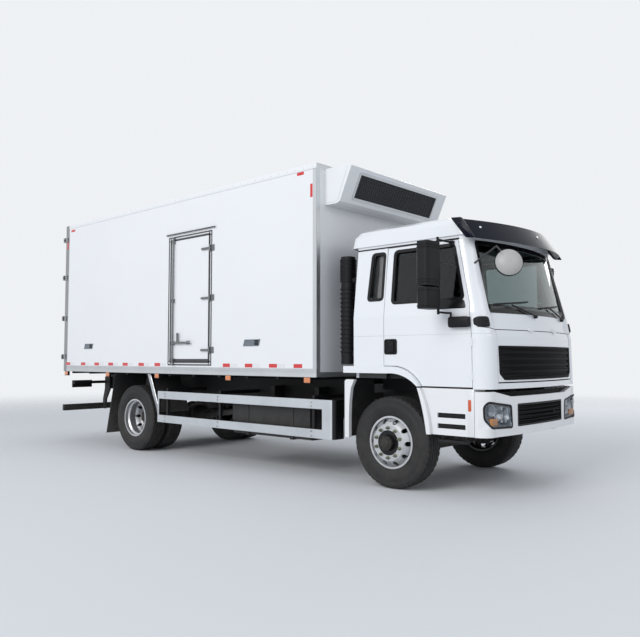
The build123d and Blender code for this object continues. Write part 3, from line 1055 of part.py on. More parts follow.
# Kerb mirror: a round dish over the right front corner that faces the driver, on a bent arm from the pillar
DISH_R, DISH_DEPTH, DISH_RIM, DISH_TIP, DISH_AT = 145, 85, 16, 16, (-900, 2467)
with BuildPart() as dish:
    with BuildSketch(Plane.XZ):
        with BuildLine():
            Polyline((0, 0), (DISH_R, 0), (DISH_R, DISH_RIM))
            ThreePointArc((DISH_R, DISH_RIM), (0.62 * DISH_R, 0.78 * DISH_DEPTH), (DISH_TIP, DISH_DEPTH))
            Polyline((DISH_TIP, DISH_DEPTH), (0, DISH_DEPTH), (0, 0))
        make_face()
    revolve(axis=Axis.Z)
DISH_AXIS = (0.62, -0.76, 0.17)
turned_dish = Plane(origin=(0, 0, 0), z_dir=DISH_AXIS).location * dish.part
dish_centre = Vector(FA + FRONT_OVERHANG - turned_dish.bounding_box().max.X, *DISH_AT)
arm = (Vector(FA + 985, -1015, 2460), Vector(FA + 1265, -985, 2640),
       dish_centre + Vector(*DISH_AXIS) * (DISH_DEPTH - 4))
with BuildPart() as kerb_mirror:
    bent_bar(arm, 10)
    front_block(-SEAT, Mode.SUBTRACT)
    add(Pos(*dish_centre) * turned_dish)
save(kerb_mirror, "kerb_mirror")
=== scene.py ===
import math

import bmesh
import bpy
import numpy as np
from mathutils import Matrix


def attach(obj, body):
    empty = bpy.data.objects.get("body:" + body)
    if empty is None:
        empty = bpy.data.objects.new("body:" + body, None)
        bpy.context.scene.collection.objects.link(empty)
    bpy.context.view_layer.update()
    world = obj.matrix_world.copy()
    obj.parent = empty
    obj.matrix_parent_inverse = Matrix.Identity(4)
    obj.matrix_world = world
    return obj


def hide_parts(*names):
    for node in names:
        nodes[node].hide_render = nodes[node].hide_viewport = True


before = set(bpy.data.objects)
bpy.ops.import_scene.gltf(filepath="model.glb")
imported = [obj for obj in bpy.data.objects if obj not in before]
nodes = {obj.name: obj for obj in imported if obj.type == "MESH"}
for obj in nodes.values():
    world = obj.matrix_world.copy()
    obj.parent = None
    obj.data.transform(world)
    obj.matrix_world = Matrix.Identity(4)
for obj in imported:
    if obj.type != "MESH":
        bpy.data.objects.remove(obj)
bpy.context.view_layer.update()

# Viewpoint. The camera stands off the truck's right front corner at chest height,
# level with the door sill, and looks slightly up.
CAMERA_AT = (7.605, -7.526, 1.472)
CAMERA_YAW, CAMERA_PITCH, CAMERA_LENS = math.radians(131.98), math.radians(3.30), 38.76
forward = np.array([math.cos(CAMERA_YAW) * math.cos(CAMERA_PITCH),
                    math.sin(CAMERA_YAW) * math.cos(CAMERA_PITCH),
                    math.sin(CAMERA_PITCH)])
right = np.array([math.sin(CAMERA_YAW), -math.cos(CAMERA_YAW), 0.0])
turn = np.eye(4)
turn[:3, :3] = np.column_stack([right, np.cross(right, forward), -forward])
turn[:3, 3] = CAMERA_AT
camera = bpy.data.objects.new("camera", bpy.data.cameras.new("camera"))
camera.data.lens = CAMERA_LENS
camera.data.sensor_width = 36.0
camera.data.clip_end = 200.0
bpy.context.scene.collection.objects.link(camera)
camera.matrix_world = turn.T
bpy.context.scene.camera = camera
bpy.context.scene.view_settings.view_transform = "Standard"


# Studio. A pale floor that fades into a pale backdrop, a soft lamp on the truck's right
# side, which is the brightest in the photograph, and weak ones before it and on its left.
def feed(made, inputs):
    """Give each of a node's inputs a constant, or join it to another node's output."""
    for key, value in dict(inputs).items():
        if isinstance(value, bpy.types.NodeSocket):
            made.id_data.links.new(value, made.inputs[key])
        else:
            made.inputs[key].default_value = value


def node(tree, kind, inputs=(), **settings):
    """A shader node with its settings and inputs."""
    made = tree.nodes.new("ShaderNode" + kind)
    for key, value in settings.items():
        setattr(made, key, value)
    feed(made, inputs)
    return made


def maths(tree, operation, *values):
    """What a Math node makes of one to three values."""
    return node(tree, "Math", enumerate(values), operation=operation).outputs[0]


def vectors(tree, operation, *values):
    """What a VectorMath node makes of its values: a number for a length, distance or dot product."""
    made = node(tree, "VectorMath", enumerate(values), operation=operation)
    return made.outputs["Value" if operation in ("LENGTH", "DISTANCE", "DOT_PRODUCT") else "Vector"]


def ranged(tree, value, low=0.0, high=1.0, start=0.0, end=1.0, shape="LINEAR"):
    """A value between low and high mapped to start and end, and held beyond them."""
    made = node(tree, "MapRange", enumerate((value, low, high, start, end)), interpolation_type=shape)
    return made.outputs[0]


def place_in(tree):
    """Object coordinates, in metres from the truck's own origin."""
    return node(tree, "TexCoord").outputs["Object"]


def axes(tree, vector=None):
    """The x, y and z of a vector, or else of the object coordinates."""
    return node(tree, "SeparateXYZ", {0: vector or place_in(tree)}).outputs


def blend(tree, share, first, second):
    """The first colour where share is 0, the second where it is 1."""
    return node(tree, "Mix", {0: share, 6: first, 7: second}, data_type="RGBA").outputs[2]


def fresh(name):
    """A new material, its node tree and its surface."""
    made = bpy.data.materials.new(name)
    made.use_nodes = True
    return made, made.node_tree, made.node_tree.nodes["Principled BSDF"]


BACKDROP = (0.86, 0.88, 0.90, 1)
world = bpy.data.worlds.new("studio")
bpy.context.scene.world = world
world.use_nodes = True
sky = world.node_tree
sky.nodes.clear()
rays = node(sky, "LightPath")
seen = maths(sky, "MAXIMUM", rays.outputs["Is Camera Ray"], rays.outputs["Is Glossy Ray"])
seen = maths(sky, "MAXIMUM", seen, rays.outputs["Is Transmission Ray"])
lit = node(sky, "Background", {"Color": (0.78, 0.84, 0.93, 1), "Strength": 0.62})
shown = node(sky, "Background", {"Color": BACKDROP, "Strength": 1.0})
mixed = node(sky, "MixShader", {0: seen, 1: lit.outputs[0], 2: shown.outputs[0]})
node(sky, "OutputWorld", {"Surface": mixed.outputs[0]})

FLOOR_HALF, FADE_FROM, FADE_TO = 60.0, 8.0, 22.0
floor = bpy.data.meshes.new("floor")
corners = FLOOR_HALF * np.array([(-1, -1, 0), (1, -1, 0), (1, 1, 0), (-1, 1, 0)])
floor.from_pydata(corners, [], [(0, 1, 2, 3)])
ground = bpy.data.objects.new("floor", floor)
bpy.context.scene.collection.objects.link(ground)
pale, tree, surface = fresh("pale floor")
fade = ranged(tree, vectors(tree, "LENGTH", place_in(tree)), FADE_FROM, FADE_TO, shape="SMOOTHSTEP")
feed(surface, {"Base Color": (0.70, 0.71, 0.725, 1), "Roughness": 0.8})
clear = node(tree, "BsdfTransparent")
blended = node(tree, "MixShader", {0: fade, 1: surface.outputs[0], 2: clear.outputs[0]})
feed(tree.nodes["Material Output"], {"Surface": blended.outputs[0]})
floor.materials.append(pale)

# Each lamp's name, watts, size, place and lean in degrees.
LAMPS = (("key", 3350, 13, (2, -22, 13), (63, 0, 6)),
         ("front", 170, 7, (14, -1, 6), (68, 0, 90)),
         ("left", 500, 9, (-1, 14, 9), (-58, 0, 0)))
for name, energy, size, place, lean in LAMPS:
    lamp = bpy.data.lights.new(name, "AREA")
    lamp.energy, lamp.size = energy, size
    holder = bpy.data.objects.new(name, lamp)
    bpy.context.scene.collection.objects.link(holder)
    holder.location = place
    holder.rotation_euler = [math.radians(angle) for angle in lean]


# Frame, axles, drive line and tanks. Black-painted rails and cast parts with road dust, a fuel tank held
# by steel straps and painted near black as shade behind the side guards, and battery and air tanks beside it.
def group(name, inputs, outputs):
    """A shader node group with named inputs and outputs: its tree, its inputs' sockets and its last node."""
    made = bpy.data.node_groups.new(name, "ShaderNodeTree")
    for label, kind, start in inputs:
        socket = made.interface.new_socket(label, in_out="INPUT", socket_type="NodeSocket" + kind)
        socket.default_value = start
    for label, kind in outputs:
        made.interface.new_socket(label, in_out="OUTPUT", socket_type="NodeSocket" + kind)
    return made, made.nodes.new("NodeGroupInput").outputs, made.nodes.new("NodeGroupOutput")


def noise(tree, place, scale, detail, rough=0.5):
    """Cloudy values about 0.5. Each octave of the detail counts for rough times the one before."""
    values = {"Vector": place, "Scale": scale, "Detail": detail, "Roughness": rough}
    return node(tree, "TexNoise", values).outputs[0]


DUST, DUST_ROUGHNESS = (0.30, 0.275, 0.24, 1), 0.92
weathered, given, end = group(
    "weathered", (("Colour", "Color", (0.8, 0.8, 0.8, 1)), ("Variation", "Float", 0.05),
                  ("Scale", "Float", 1.5), ("Dust", "Float", 0.0), ("Dust Top", "Float", 1.2)),
    (("Colour", "Color"), ("Dust", "Float")))
place = place_in(weathered)
cloud = noise(weathered, place, given["Scale"], 5.0, 0.6)
swing = ranged(weathered, cloud, 0.3, 0.7, -1.0, 1.0)
swing = maths(weathered, "MULTIPLY_ADD", swing, given["Variation"], 1.0)
tone = node(weathered, "VectorMath", {0: given["Colour"], "Scale": swing}, operation="SCALE").outputs[0]
low = ranged(weathered, axes(weathered, place)["Z"], given["Dust Top"], 0.35, shape="SMOOTHSTEP")
spots = noise(weathered, place, 7.0, 6.0, 0.7)
dusty = maths(weathered, "MULTIPLY", low, ranged(weathered, spots, 0.35, 0.65, 0.35, 1.0))
dusty = maths(weathered, "MULTIPLY", dusty, given["Dust"])
feed(end, {"Colour": blend(weathered, dusty, tone, DUST), "Dust": dusty})

grained, given, end = group(
    "grained", (("Scale", "Float", 300.0), ("Stretch", "Vector", (1, 1, 1))), (("Height", "Float"),))
drawn = vectors(grained, "MULTIPLY", place_in(grained), given["Stretch"])
feed(end, {"Height": noise(grained, drawn, given["Scale"], 3.0, 0.6)})


def raised(surface, height, strength, distance):
    """Relief on a surface from a height of 0 to 1, which stands for a distance in metres."""
    bump = node(surface.id_data, "Bump", {"Height": height, "Strength": strength, "Distance": distance})
    feed(surface, {"Normal": bump.outputs[0]})


def finish(name, colour, rough, metal=0.0, coat=0.0, vary=0.05, scale=1.5, dust=0.0, dust_top=1.2,
           grain=0.0, grain_scale=300.0, stretch=(1, 1, 1), specular=0.5):
    """A material: its colour clouded, dusted towards the ground, and a fine grain as its relief."""
    made, tree, surface = fresh(name)
    look = node(tree, "Group", {"Colour": (*colour, 1), "Variation": vary, "Scale": scale, "Dust": dust,
                                "Dust Top": dust_top}, node_tree=weathered).outputs
    dulled = ranged(tree, look["Dust"], 0.0, 1.0, rough, DUST_ROUGHNESS)
    feed(surface, {"Base Color": look["Colour"], "Roughness": dulled, "Metallic": metal, "Coat Weight": coat,
                   "Coat Roughness": 0.06, "Specular IOR Level": specular})
    if grain:
        relief = node(tree, "Group", {"Scale": grain_scale, "Stretch": stretch}, node_tree=grained)
        raised(surface, relief.outputs["Height"], grain, 0.002)
    return made


def painted(material, mask, colour):
    """Mix a colour into a material's base colour where a mask is 1."""
    tree = material.node_tree
    surface = tree.nodes["Principled BSDF"]
    before = surface.inputs["Base Color"].links[0].from_socket
    feed(surface, {"Base Color": blend(tree, mask, before, colour)})


def dress(names, material):
    """Give CAD nodes a material."""
    for name in names.split():
        for holder in nodes[name].material_slots:
            holder.material = material


chassis_black = finish("chassis black", (0.012, 0.012, 0.013), 0.5, vary=0.2, dust=0.12, grain=0.15,
                       specular=0.3)
cast_iron = finish("cast iron", (0.022, 0.022, 0.023), 0.62, metal=0.2, vary=0.3, scale=4, dust=0.25,
                   grain=0.5, grain_scale=120, specular=0.35)
# The fuel tank is painted near black: painted shade, for it lies in the shade behind the side guards.
tank_shade_black = finish("tank painted as shade", (0.014, 0.014, 0.015), 0.4, vary=0.15, dust=0.12, grain=0.1, grain_scale=60,
                    specular=0.35)
shaft_steel = finish("shaft steel", (0.10, 0.10, 0.105), 0.4, metal=0.8, vary=0.2, scale=3, dust=0.4)
exhaust_steel = finish("exhaust steel", (0.16, 0.145, 0.13), 0.5, metal=0.85, vary=0.35, scale=5, dust=0.5)
dress("ladder_frame radiator underrun_bar battery_and_air_tanks cab_floor box_floor", chassis_black)
dress("front_axle rear_axle engine knuckle_right knuckle_left tie_rod", cast_iron)
dress("propeller_shaft", shaft_steel)
dress("exhaust", exhaust_steel)
dress("fuel_tank", tank_shade_black)


# Wheels. Silver-painted steel discs with ten hand holes, each held by ten zinc-plated nuts on
# long studs round a dark hub, and road tyres with four main grooves and cut shoulders.
FRONT_AXLE = 2.933
AXLE_Z, REAR_X = 0.52, -5.0
SIDES = ((-1, "right"), (1, "left"))
NUT_COUNT, NUT_CIRCLE = 10, 0.1675
BORE_R, DRUM_R, DISC_R = 0.141, 0.215, 0.235
# Near black for dark iron, and for painted shade on the wheels' inner parts and behind the side guards.
SHADE_AND_IRON_BLACK = (0.014, 0.014, 0.015, 1)


def skin(rings, wrap=True, caps=True):
    """Quads between neighbouring rings of points. wrap closes every ring, caps fill the end ones."""
    rings = np.asarray(rings, float)
    number = np.arange(rings.shape[0] * rings.shape[1]).reshape(rings.shape[:2])
    here, ahead = (number, np.roll(number, -1, 1)) if wrap else (number[:, :-1], number[:, 1:])
    quads = np.stack([here[:-1], ahead[:-1], ahead[1:], here[1:]], -1).reshape(-1, 4)
    return rings.reshape(-1, 3), quads, [number[0][::-1], number[-1]] if caps else []


def lathe(profile, at, axis=(0, 1, 0), count=24, caps=True):
    """An outline of (along, radius) turned round an axis through at."""
    along, radius = np.asarray(profile, float).T
    axis = np.asarray(axis, float) / np.linalg.norm(axis)
    side = np.cross(axis, (0, 0, 1) if abs(axis[2]) < 0.9 else (1, 0, 0))
    side /= np.linalg.norm(side)
    angle = np.linspace(0, 2 * math.pi, count, endpoint=False)[:, None]
    spoke = np.cos(angle) * side + np.sin(angle) * np.cross(side, axis)
    return skin(np.asarray(at) + along[:, None, None] * axis + radius[:, None, None] * spoke, caps=caps)


def copies(part, places):
    """The same part moved to each of the places."""
    return [(part[0] + place, *part[1:]) for place in np.asarray(places, float)]


def both(parts):
    """The parts and their likeness on the truck's other side."""
    return list(parts) + [(points * (1, -1, 1), *faces) for points, *faces in parts]


def sided(parts, side):
    """Parts of the right side as they are for side -1, and only their likeness for side 1."""
    return list(parts) if side < 0 else both(parts)[len(parts):]


def build(name, parts, body, material, bevel=0.0, angle=35, replaced=()):
    """One piece of several parts, whose x counts from the front axle. Its doubles are merged and its faces
    turned outwards."""
    starts = np.cumsum([0] + [len(part[0]) for part in parts])
    faces = np.concatenate([part[1] + start for part, start in zip(parts, starts)]).tolist()
    faces += [(cap + start).tolist() for part, start in zip(parts, starts) for cap in part[2]]
    mesh = bpy.data.meshes.new(name)
    mesh.from_pydata(np.concatenate([part[0] for part in parts]) + (FRONT_AXLE, 0, 0), [], faces)
    shell = bmesh.new()
    shell.from_mesh(mesh)
    bmesh.ops.remove_doubles(shell, verts=shell.verts, dist=1e-5)
    bmesh.ops.recalc_face_normals(shell, faces=shell.faces)
    shell.to_mesh(mesh)
    shell.free()
    mesh.shade_smooth()
    mesh.set_sharp_from_angle(angle=math.radians(angle))
    mesh.materials.append(material)
    piece = bpy.data.objects.new(name, mesh)
    bpy.context.scene.collection.objects.link(piece)
    if bevel:
        edge = piece.modifiers.new("soft edges", "BEVEL")
        edge.width, edge.segments, edge.harden_normals = bevel, 2, True
        edge.limit_method, edge.angle_limit = "ANGLE", math.radians(40)
    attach(piece, body)
    if replaced:
        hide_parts(*replaced)
    return piece


# A tyre's half section from bead to middle, as distance from its middle plane and radius. Its tread has
# pulses of several steps each, and shoulder cuts.
WALL = ((0.098, 0.2885), (0.110, 0.2995), (0.1215, 0.312), (0.1325, 0.344), (0.1385, 0.378),
        (0.1400, 0.395), (0.1385, 0.404), (0.1395, 0.4075), (0.1375, 0.413), (0.1335, 0.446),
        (0.1300, 0.468), (0.1312, 0.473), (0.1270, 0.482), (0.1195, 0.499), (0.112, 0.5105))
CROWN = ((0.105, 0.5155), (0.090, 0.5170), (0.0865, 0.5050), (0.0785, 0.5050), (0.0765, 0.5178),
         (0.055, 0.5190), (0.044, 0.5194), (0.0415, 0.5070), (0.0325, 0.5070), (0.0305, 0.5197),
         (0.016, 0.52), (0.004, 0.52), (0.003, 0.513))
PULSES, STEPS, CUT = 46, 5, 0.009


def round_axle(x, y, radius, angle):
    """Points beside an axle at x: y to the left, and a radius from its middle line at an angle."""
    return np.stack([x + radius * np.cos(angle), y + 0 * angle, AXLE_Z + radius * np.sin(angle)], -1)


def tyre(x, y):
    """A tyre: its half section mirrored and turned round the axle. One step in five of the shoulder sits
    deeper by the cut, and one in five of each inner rib by a third of it, two steps later."""
    half = np.array(WALL + CROWN)
    section = np.vstack([half, half[::-1] * (-1, 1)])
    step = np.arange(PULSES * STEPS)
    out = np.abs(section[:, 0])
    shoulder = (out > 0.084) & (section[:, 1] > 0.509)
    ribs = (out < 0.0845) & (section[:, 1] > 0.515) & (out > 0.01)
    radius = (section[:, 1] - CUT * shoulder * (step % STEPS == 0)[:, None]
              - CUT / 3 * ribs * (step % STEPS == 2)[:, None])
    angle = (2 * math.pi * step / len(step))[:, None]
    rings = round_axle(x, y + section[:, 0], radius, angle)
    return skin(np.concatenate([rings, rings[:1]]), caps=False)


def circle(x, y, radius, count, turn=0.0):
    """Points at even angles round an axle, turned by a part of their spacing."""
    return round_axle(x, y, radius, (np.arange(count) + turn) * 2 * math.pi / count)


def nuts(x, y, side):
    """The washers, nuts and studs on the bolt circle of a disc whose face is at y."""
    places = circle(x, y, NUT_CIRCLE, NUT_COUNT, 0.5)
    parts = []
    for profile, corners in (([(-0.001, 0.0205), (0.005, 0.0205), (0.006, 0.0195)], 16),
                             ([(0.005, 0.0185), (0.021, 0.0185), (0.025, 0.0150)], 6),
                             ([(0.02, 0.0105), (0.040, 0.0105), (0.043, 0.0085)], 10)):
        parts += copies(lathe(profile, (0, 0, 0), (0, side, 0), corners), places)
    return parts


def wheel_paint(name, hub_x, drum_y, shade_y, deep=0.0):
    """Silver paint on the disc, and dark iron inside its bore and on the drum behind it. The rim's inboard
    part is painted near black as shade, with some brake dust, and a disc that lies deep in its rim gets
    painted shade."""
    made = finish(name, (0.60, 0.61, 0.63), 0.30, metal=0.75, coat=0.25, vary=0.06, scale=5, dust=0.18,
                  dust_top=1.1, grain=0.12, grain_scale=160)
    tree = made.node_tree
    spot = axes(tree)
    flat = node(tree, "CombineXYZ", {0: spot["X"], 1: spot["Z"]}).outputs[0]
    spoke = vectors(tree, "DISTANCE", flat, (hub_x, AXLE_Z, 0))
    away = maths(tree, "ABSOLUTE", spot["Y"])
    inboard = maths(tree, "LESS_THAN", away, drum_y)
    drum = maths(tree, "MULTIPLY", maths(tree, "LESS_THAN", spoke, DRUM_R), inboard)
    dark = maths(tree, "MAXIMUM", maths(tree, "LESS_THAN", spoke, BORE_R), drum)
    # Painted shade, with some brake dust: the rim inboard of this depth goes near black.
    dark = maths(tree, "MAXIMUM", dark, ranged(tree, away, shade_y + 0.03, shade_y, 0.0, 0.92))
    # Painted shade on a disc that lies deep in its rim.
    painted(made, ranged(tree, spoke, DISC_R + 0.027, DISC_R, 0.0, deep), (0.10, 0.10, 0.11, 1))
    painted(made, dark, SHADE_AND_IRON_BLACK)
    return made


rubber = finish("tyre rubber", (0.013, 0.013, 0.014), 0.66, vary=0.2, scale=6, dust=0.07, dust_top=1.3,
                grain=0.3, grain_scale=220, specular=0.35)
hub_black = finish("hub iron", (0.016, 0.015, 0.014), 0.55, vary=0.3, scale=9, dust=0.08, grain=0.4,
                   specular=0.3)
zinc = finish("zinc-plated nuts", (0.22, 0.235, 0.17), 0.38, metal=0.8, vary=0.2, scale=9)
dress("front_rim_right front_rim_left", wheel_paint("front wheel silver", FRONT_AXLE, 1.165, 1.04))
dress("rear_rims_right rear_rims_left",
      wheel_paint("rear wheel silver", FRONT_AXLE + REAR_X, 0.925, 0.80, deep=0.75))
BOLT = [(-0.002, 0.008), (0.007, 0.008), (0.008, 0.0065)]
CAP = [(0.0, 0.083), (0.012, 0.083), (0.018, 0.079), (0.020, 0.060), (0.030, 0.054), (0.034, 0.045),
       (0.034, 0.0)]
for side, name in SIDES:
    build(f"front_road_tyre_{name}", [tyre(0, side * 1.019)], f"wheel_front_{name}", rubber,
          replaced=[f"front_tyre_{name}"])
    build(f"rear_road_tyres_{name}", [tyre(REAR_X, side * 1.108), tyre(REAR_X, side * 0.7777)],
          f"wheel_rear_{name}", rubber, replaced=[f"rear_tyres_{name}"])
    build(f"front_nuts_{name}", nuts(0, side * 1.184, side), f"wheel_front_{name}", zinc)
    build(f"rear_nuts_{name}", nuts(REAR_X, side * 0.955, side), f"wheel_rear_{name}", zinc)
    for x, y, axle in ((0, 1.224, "front"), (REAR_X, 1.033, "rear")):
        heads = circle(x, side * (y + 0.018), 0.070, 8)
        bolts = copies(lathe(BOLT, (0, 0, 0), (0, side, 0), 6), heads)
        dome = lathe(CAP, (x, side * y, AXLE_Z), (0, side, 0), 40)
        build(f"{axle}_hub_cap_{name}", [dome, *bolts], f"wheel_{axle}_{name}", hub_black)


# Side guards. Folded sheet rails painted light grey, bolted to posts and arms off the frame. All of the
# guard inboard of the rails' faces, posts and arms too, is painted near black as shade.
guard_grey = finish("guard grey", (0.56, 0.585, 0.61), 0.38, metal=0.45, vary=0.08, scale=2, dust=0.10,
                    dust_top=1.0, grain=0.12, grain_scale=90)
RAIL_INNER_Y = 1.2105
tree = guard_grey.node_tree
out = maths(tree, "ABSOLUTE", axes(tree)["Y"])
# Painted shade: all of the guard inboard of the rails' outer face is painted near black.
painted(guard_grey, maths(tree, "LESS_THAN", out, RAIL_INNER_Y), SHADE_AND_IRON_BLACK)
bolt_zinc = finish("zinc-plated bolts", (0.42, 0.43, 0.43), 0.35, metal=0.9, vary=0.15, scale=12)
dress("side_guards", guard_grey)
GUARD_BOLT = [(-0.001, 0.013), (0.002, 0.013), (0.0025, 0.009), (0.009, 0.009), (0.010, 0.007)]
bolt = lathe(GUARD_BOLT, (0, 0, 0), (0, -1, 0), 8)
places = [(x, -1.2205, z) for x in (-4.20, -2.95, -1.15) for z in (0.515, 0.575, 0.885, 0.93)]
build("guard_bolts", both(copies(bolt, places)), "chassis", bolt_zinc)


# Lamps. A tail bar with white, red and amber lenses, and small markers under the box's bottom rails.
def bend(points, radius, steps=5, closed=False):
    """Round a path's corners: each corner p becomes the curve (1-t)^2 a + 2t(1-t) p + t^2 b, where a and b
    lie a radius from p."""
    points = np.asarray(points, float)
    before, after = np.roll(points, 1, 0) - points, np.roll(points, -1, 0) - points
    start, end = (points + way * np.minimum(radius / np.linalg.norm(way, axis=1, keepdims=True), 0.49)
                  for way in (before, after))
    t = np.linspace(0, 1, steps + 1)[None, :, None]
    curve = (1 - t) ** 2 * start[:, None] + 2 * t * (1 - t) * points[:, None] + t ** 2 * end[:, None]
    if closed:
        return curve.reshape(-1, points.shape[1])
    return np.vstack([points[:1], curve[1:-1].reshape(-1, points.shape[1]), points[-1:]])


def inset(outline, amount):
    """A closed, counter-clockwise outline brought in by amount, each corner along its mitre."""
    outline = np.asarray(outline, float)
    run = np.roll(outline, -1, 0) - outline
    run /= np.linalg.norm(run, axis=1, keepdims=True)
    inward = np.stack([-run[:, 1], run[:, 0]], -1)
    mitre = inward + np.roll(inward, 1, 0)
    return outline + amount * mitre / (mitre * inward).sum(1, keepdims=True)


def rounded(u, v, radius, steps=5):
    """A rectangle between two pairs of bounds with rounded corners, counter-clockwise."""
    return bend([(u[0], v[0]), (u[1], v[0]), (u[1], v[1]), (u[0], v[1])], radius, steps, closed=True)


def cover(outline, place, levels):
    """A domed cover on a surface: the outline brought in by each level's first value and lifted by its
    second."""
    return skin([place(inset(outline, in_by), lift) for in_by, lift in levels])


def band(outline, wide, place, low, high):
    """A flat ring on a surface along an outline, wide inwards, between two lifts."""
    inner = inset(outline, wide)
    return skin([place(outline, low), place(outline, high), place(inner, high), place(inner, low),
                 place(outline, low)], caps=False)


def block(x, y, z):
    """A box between two corners."""
    flat = np.array([(x[0], z[0]), (x[1], z[0]), (x[1], z[1]), (x[0], z[1])])
    return skin([np.insert(flat, 1, station, axis=1) for station in y])


BOX_SIDE, BOX_BACK = 1.25, 7.30


def on_box_side(points, lift):
    """Points (x, z) on the box's right side, lifted off it."""
    return np.insert(points, 1, -BOX_SIDE - lift, axis=1)


def on_box_rear(points, lift):
    """Points (y, z) on the box's back, lifted off it."""
    return np.insert(points, 0, -BOX_BACK - lift, axis=1)


dark_plastic = finish("dark plastic", (0.009, 0.009, 0.011), 0.5, vary=0.15, dust=0.05, grain=0.3,
                      grain_scale=420, specular=0.2)
dress("lamps", dark_plastic)
LENSES = (("white", (0.62, 0.62, 0.60), (0.71, 0.80)), ("red", (0.42, 0.012, 0.010), (0.81, 0.94)),
          ("amber", (0.66, 0.21, 0.07), (0.95, 1.07)))
lens_finish = {}
for name, colour, across in LENSES:
    lens_finish[name] = finish(f"{name} lens", colour, 0.12, coat=1.0, vary=0.1, scale=30, grain=0.5,
                               grain_scale=260)
    lens = cover(rounded(across, (0.945, 1.055), 0.012), on_box_rear,
                 ((0, -0.001), (0, 0.010), (0.008, 0.015)))
    build(f"tail_lens_{name}", both([lens]), "chassis", lens_finish[name])
lenses = [cover(rounded((x - 0.052, x + 0.052), (1.168, 1.232), 0.01), on_box_side,
                ((0, -0.001), (0, 0.004), (0.006, 0.0055))) for x in (-1.19, -2.69, -4.38, -5.80, -7.20)]
build("marker_lenses", both(lenses), "chassis", lens_finish["amber"])
build("tail_bar_strip", [block((-7.272, -7.2695), (-1.05, 1.05), (1.008, 1.042))], "chassis",
      lens_finish["red"])

# Mudguards. A plate before the rear wheels, edged by a bright stay, and a rubber flap behind them.
flap_rubber = finish("flap rubber", (0.018, 0.018, 0.019), 0.65, vary=0.2, dust=0.3, grain=0.35,
                     grain_scale=180)
dress("mudguards", flap_rubber)
aluminium = finish("aluminium rail", (0.58, 0.60, 0.62), 0.34, metal=0.9, vary=0.05, scale=3, grain=0.15,
                   grain_scale=120, stretch=(1, 12, 12))


def on_guard_edge(points, lift):
    """Points (x, z) on the right mudguard's outer edge."""
    return on_box_side(points, lift - 0.08)


stay = bend([(-4.45, 0.60), (-4.375, 0.60), (-4.655, 1.225), (-4.735, 1.225)], 0.012, closed=True)
build("guard_stays", both([cover(stay, on_guard_edge, ((0, 0), (0, 0.006), (0.004, 0.009)))]), "chassis",
      aluminium)

# Box. Insulated panels with a glossy glass-fibre skin, riveted aluminium rails along the edges,
# reflective tapes, hinged vent flaps and a stainless frame at the back.
PANEL = dict(colour=(0.785, 0.792, 0.805), rough=0.32, coat=0.35, vary=0.012, scale=0.8, grain=0.05,
             grain_scale=9)
panel_white = finish("panel white", **PANEL)
stainless = finish("stainless", (0.34, 0.35, 0.36), 0.30, metal=1.0, vary=0.06, scale=4, grain=0.15,
                   grain_scale=150, stretch=(12, 12, 1))
PANEL_FOOT = 1.346
dress("box_roof box_front_wall", panel_white)


def fitted(name, spread, low, high):
    """Panel white, and steel where a point's distance along spread (a direction) is past low, over the
    walls' foot and below high in z."""
    made = finish(name, **PANEL)
    tree = made.node_tree
    place = place_in(tree)
    reach = vectors(tree, "ABSOLUTE", place) if spread[1] else place
    proud = maths(tree, "GREATER_THAN", vectors(tree, "DOT_PRODUCT", reach, spread), low)
    height = axes(tree, place)["Z"]
    over = maths(tree, "GREATER_THAN", height, PANEL_FOOT)
    steel = maths(tree, "MULTIPLY", maths(tree, "LESS_THAN", height, high), over)
    steel = maths(tree, "MULTIPLY", steel, proud)
    painted(made, steel, (0.17, 0.175, 0.18, 1))
    feed(tree.nodes["Principled BSDF"], {"Metallic": maths(tree, "MULTIPLY", steel, 0.75)})
    return made


side_fitted = fitted("panel white with side fittings", (0, 1, 0), BOX_SIDE + 0.0013, 3.84)
rear_fitted = fitted("panel white with rear fittings", (-1, 0, 0), BOX_BACK + 0.0013 - FRONT_AXLE, 4.0)
dress("box_wall_right box_wall_left side_door", side_fitted)
dress("rear_door_right rear_door_left", rear_fitted)
dress("box_rear_frame", stainless)
BOX_ENDS = (-7.18, -1.028)
BOTTOM_RAIL = ((1.250, 1.343), (1.2535, 1.343), (1.2578, 1.337), (1.2578, 1.301), (1.2566, 1.2995),
               (1.2578, 1.298), (1.2578, 1.252), (1.2600, 1.248), (1.2600, 1.237), (1.250, 1.237))
TOP_RAIL = ((1.250, 3.846), (1.2560, 3.846), (1.2578, 3.850), (1.2578, 3.908), (1.2550, 3.9125),
            (1.215, 3.9125), (1.215, 3.910), (1.250, 3.910))


def extruded(section, ends):
    """A section (y, z) drawn along the truck between two stations, on the right side."""
    section = np.asarray(section, float) * (-1, 1)
    return skin([np.insert(section, 0, x, axis=1) for x in ends])


rails = both([extruded(BOTTOM_RAIL, BOX_ENDS)])
build("box_top_rails", both([extruded(TOP_RAIL, BOX_ENDS)]), "chassis", panel_white)
posts = both([block((-1.092, -1.0275), (-1.2532, -1.2500), (1.345, 3.845)),
              block((-1.0302, -1.0270), (-1.2532, -1.190), (1.237, 3.91))])
lips = [block((-1.0302, -1.0270), (-1.19, 1.19), (1.237, 1.30)),
        block((-1.0302, -1.0270), (-1.19, 1.19), (3.86, 3.912)),
        block((-1.10, -1.0270), (-1.2532, 1.2532), (3.9102, 3.9130))]
build("box_edge_rails", rails + posts + lips, "chassis", aluminium)
rivet = lathe([(-0.0005, 0.0065), (0.0008, 0.0055), (0.0018, 0.0030), (0.0021, 0.0)], (0, -1.2575, 0),
              (0, -1, 0), 8)
rows = [(x, 0, height) for height in (1.320, 3.880) for x in np.arange(-7.10, -1.05, 0.15)]
build("rail_rivets", both(copies(rivet, rows)), "chassis", bolt_zinc)

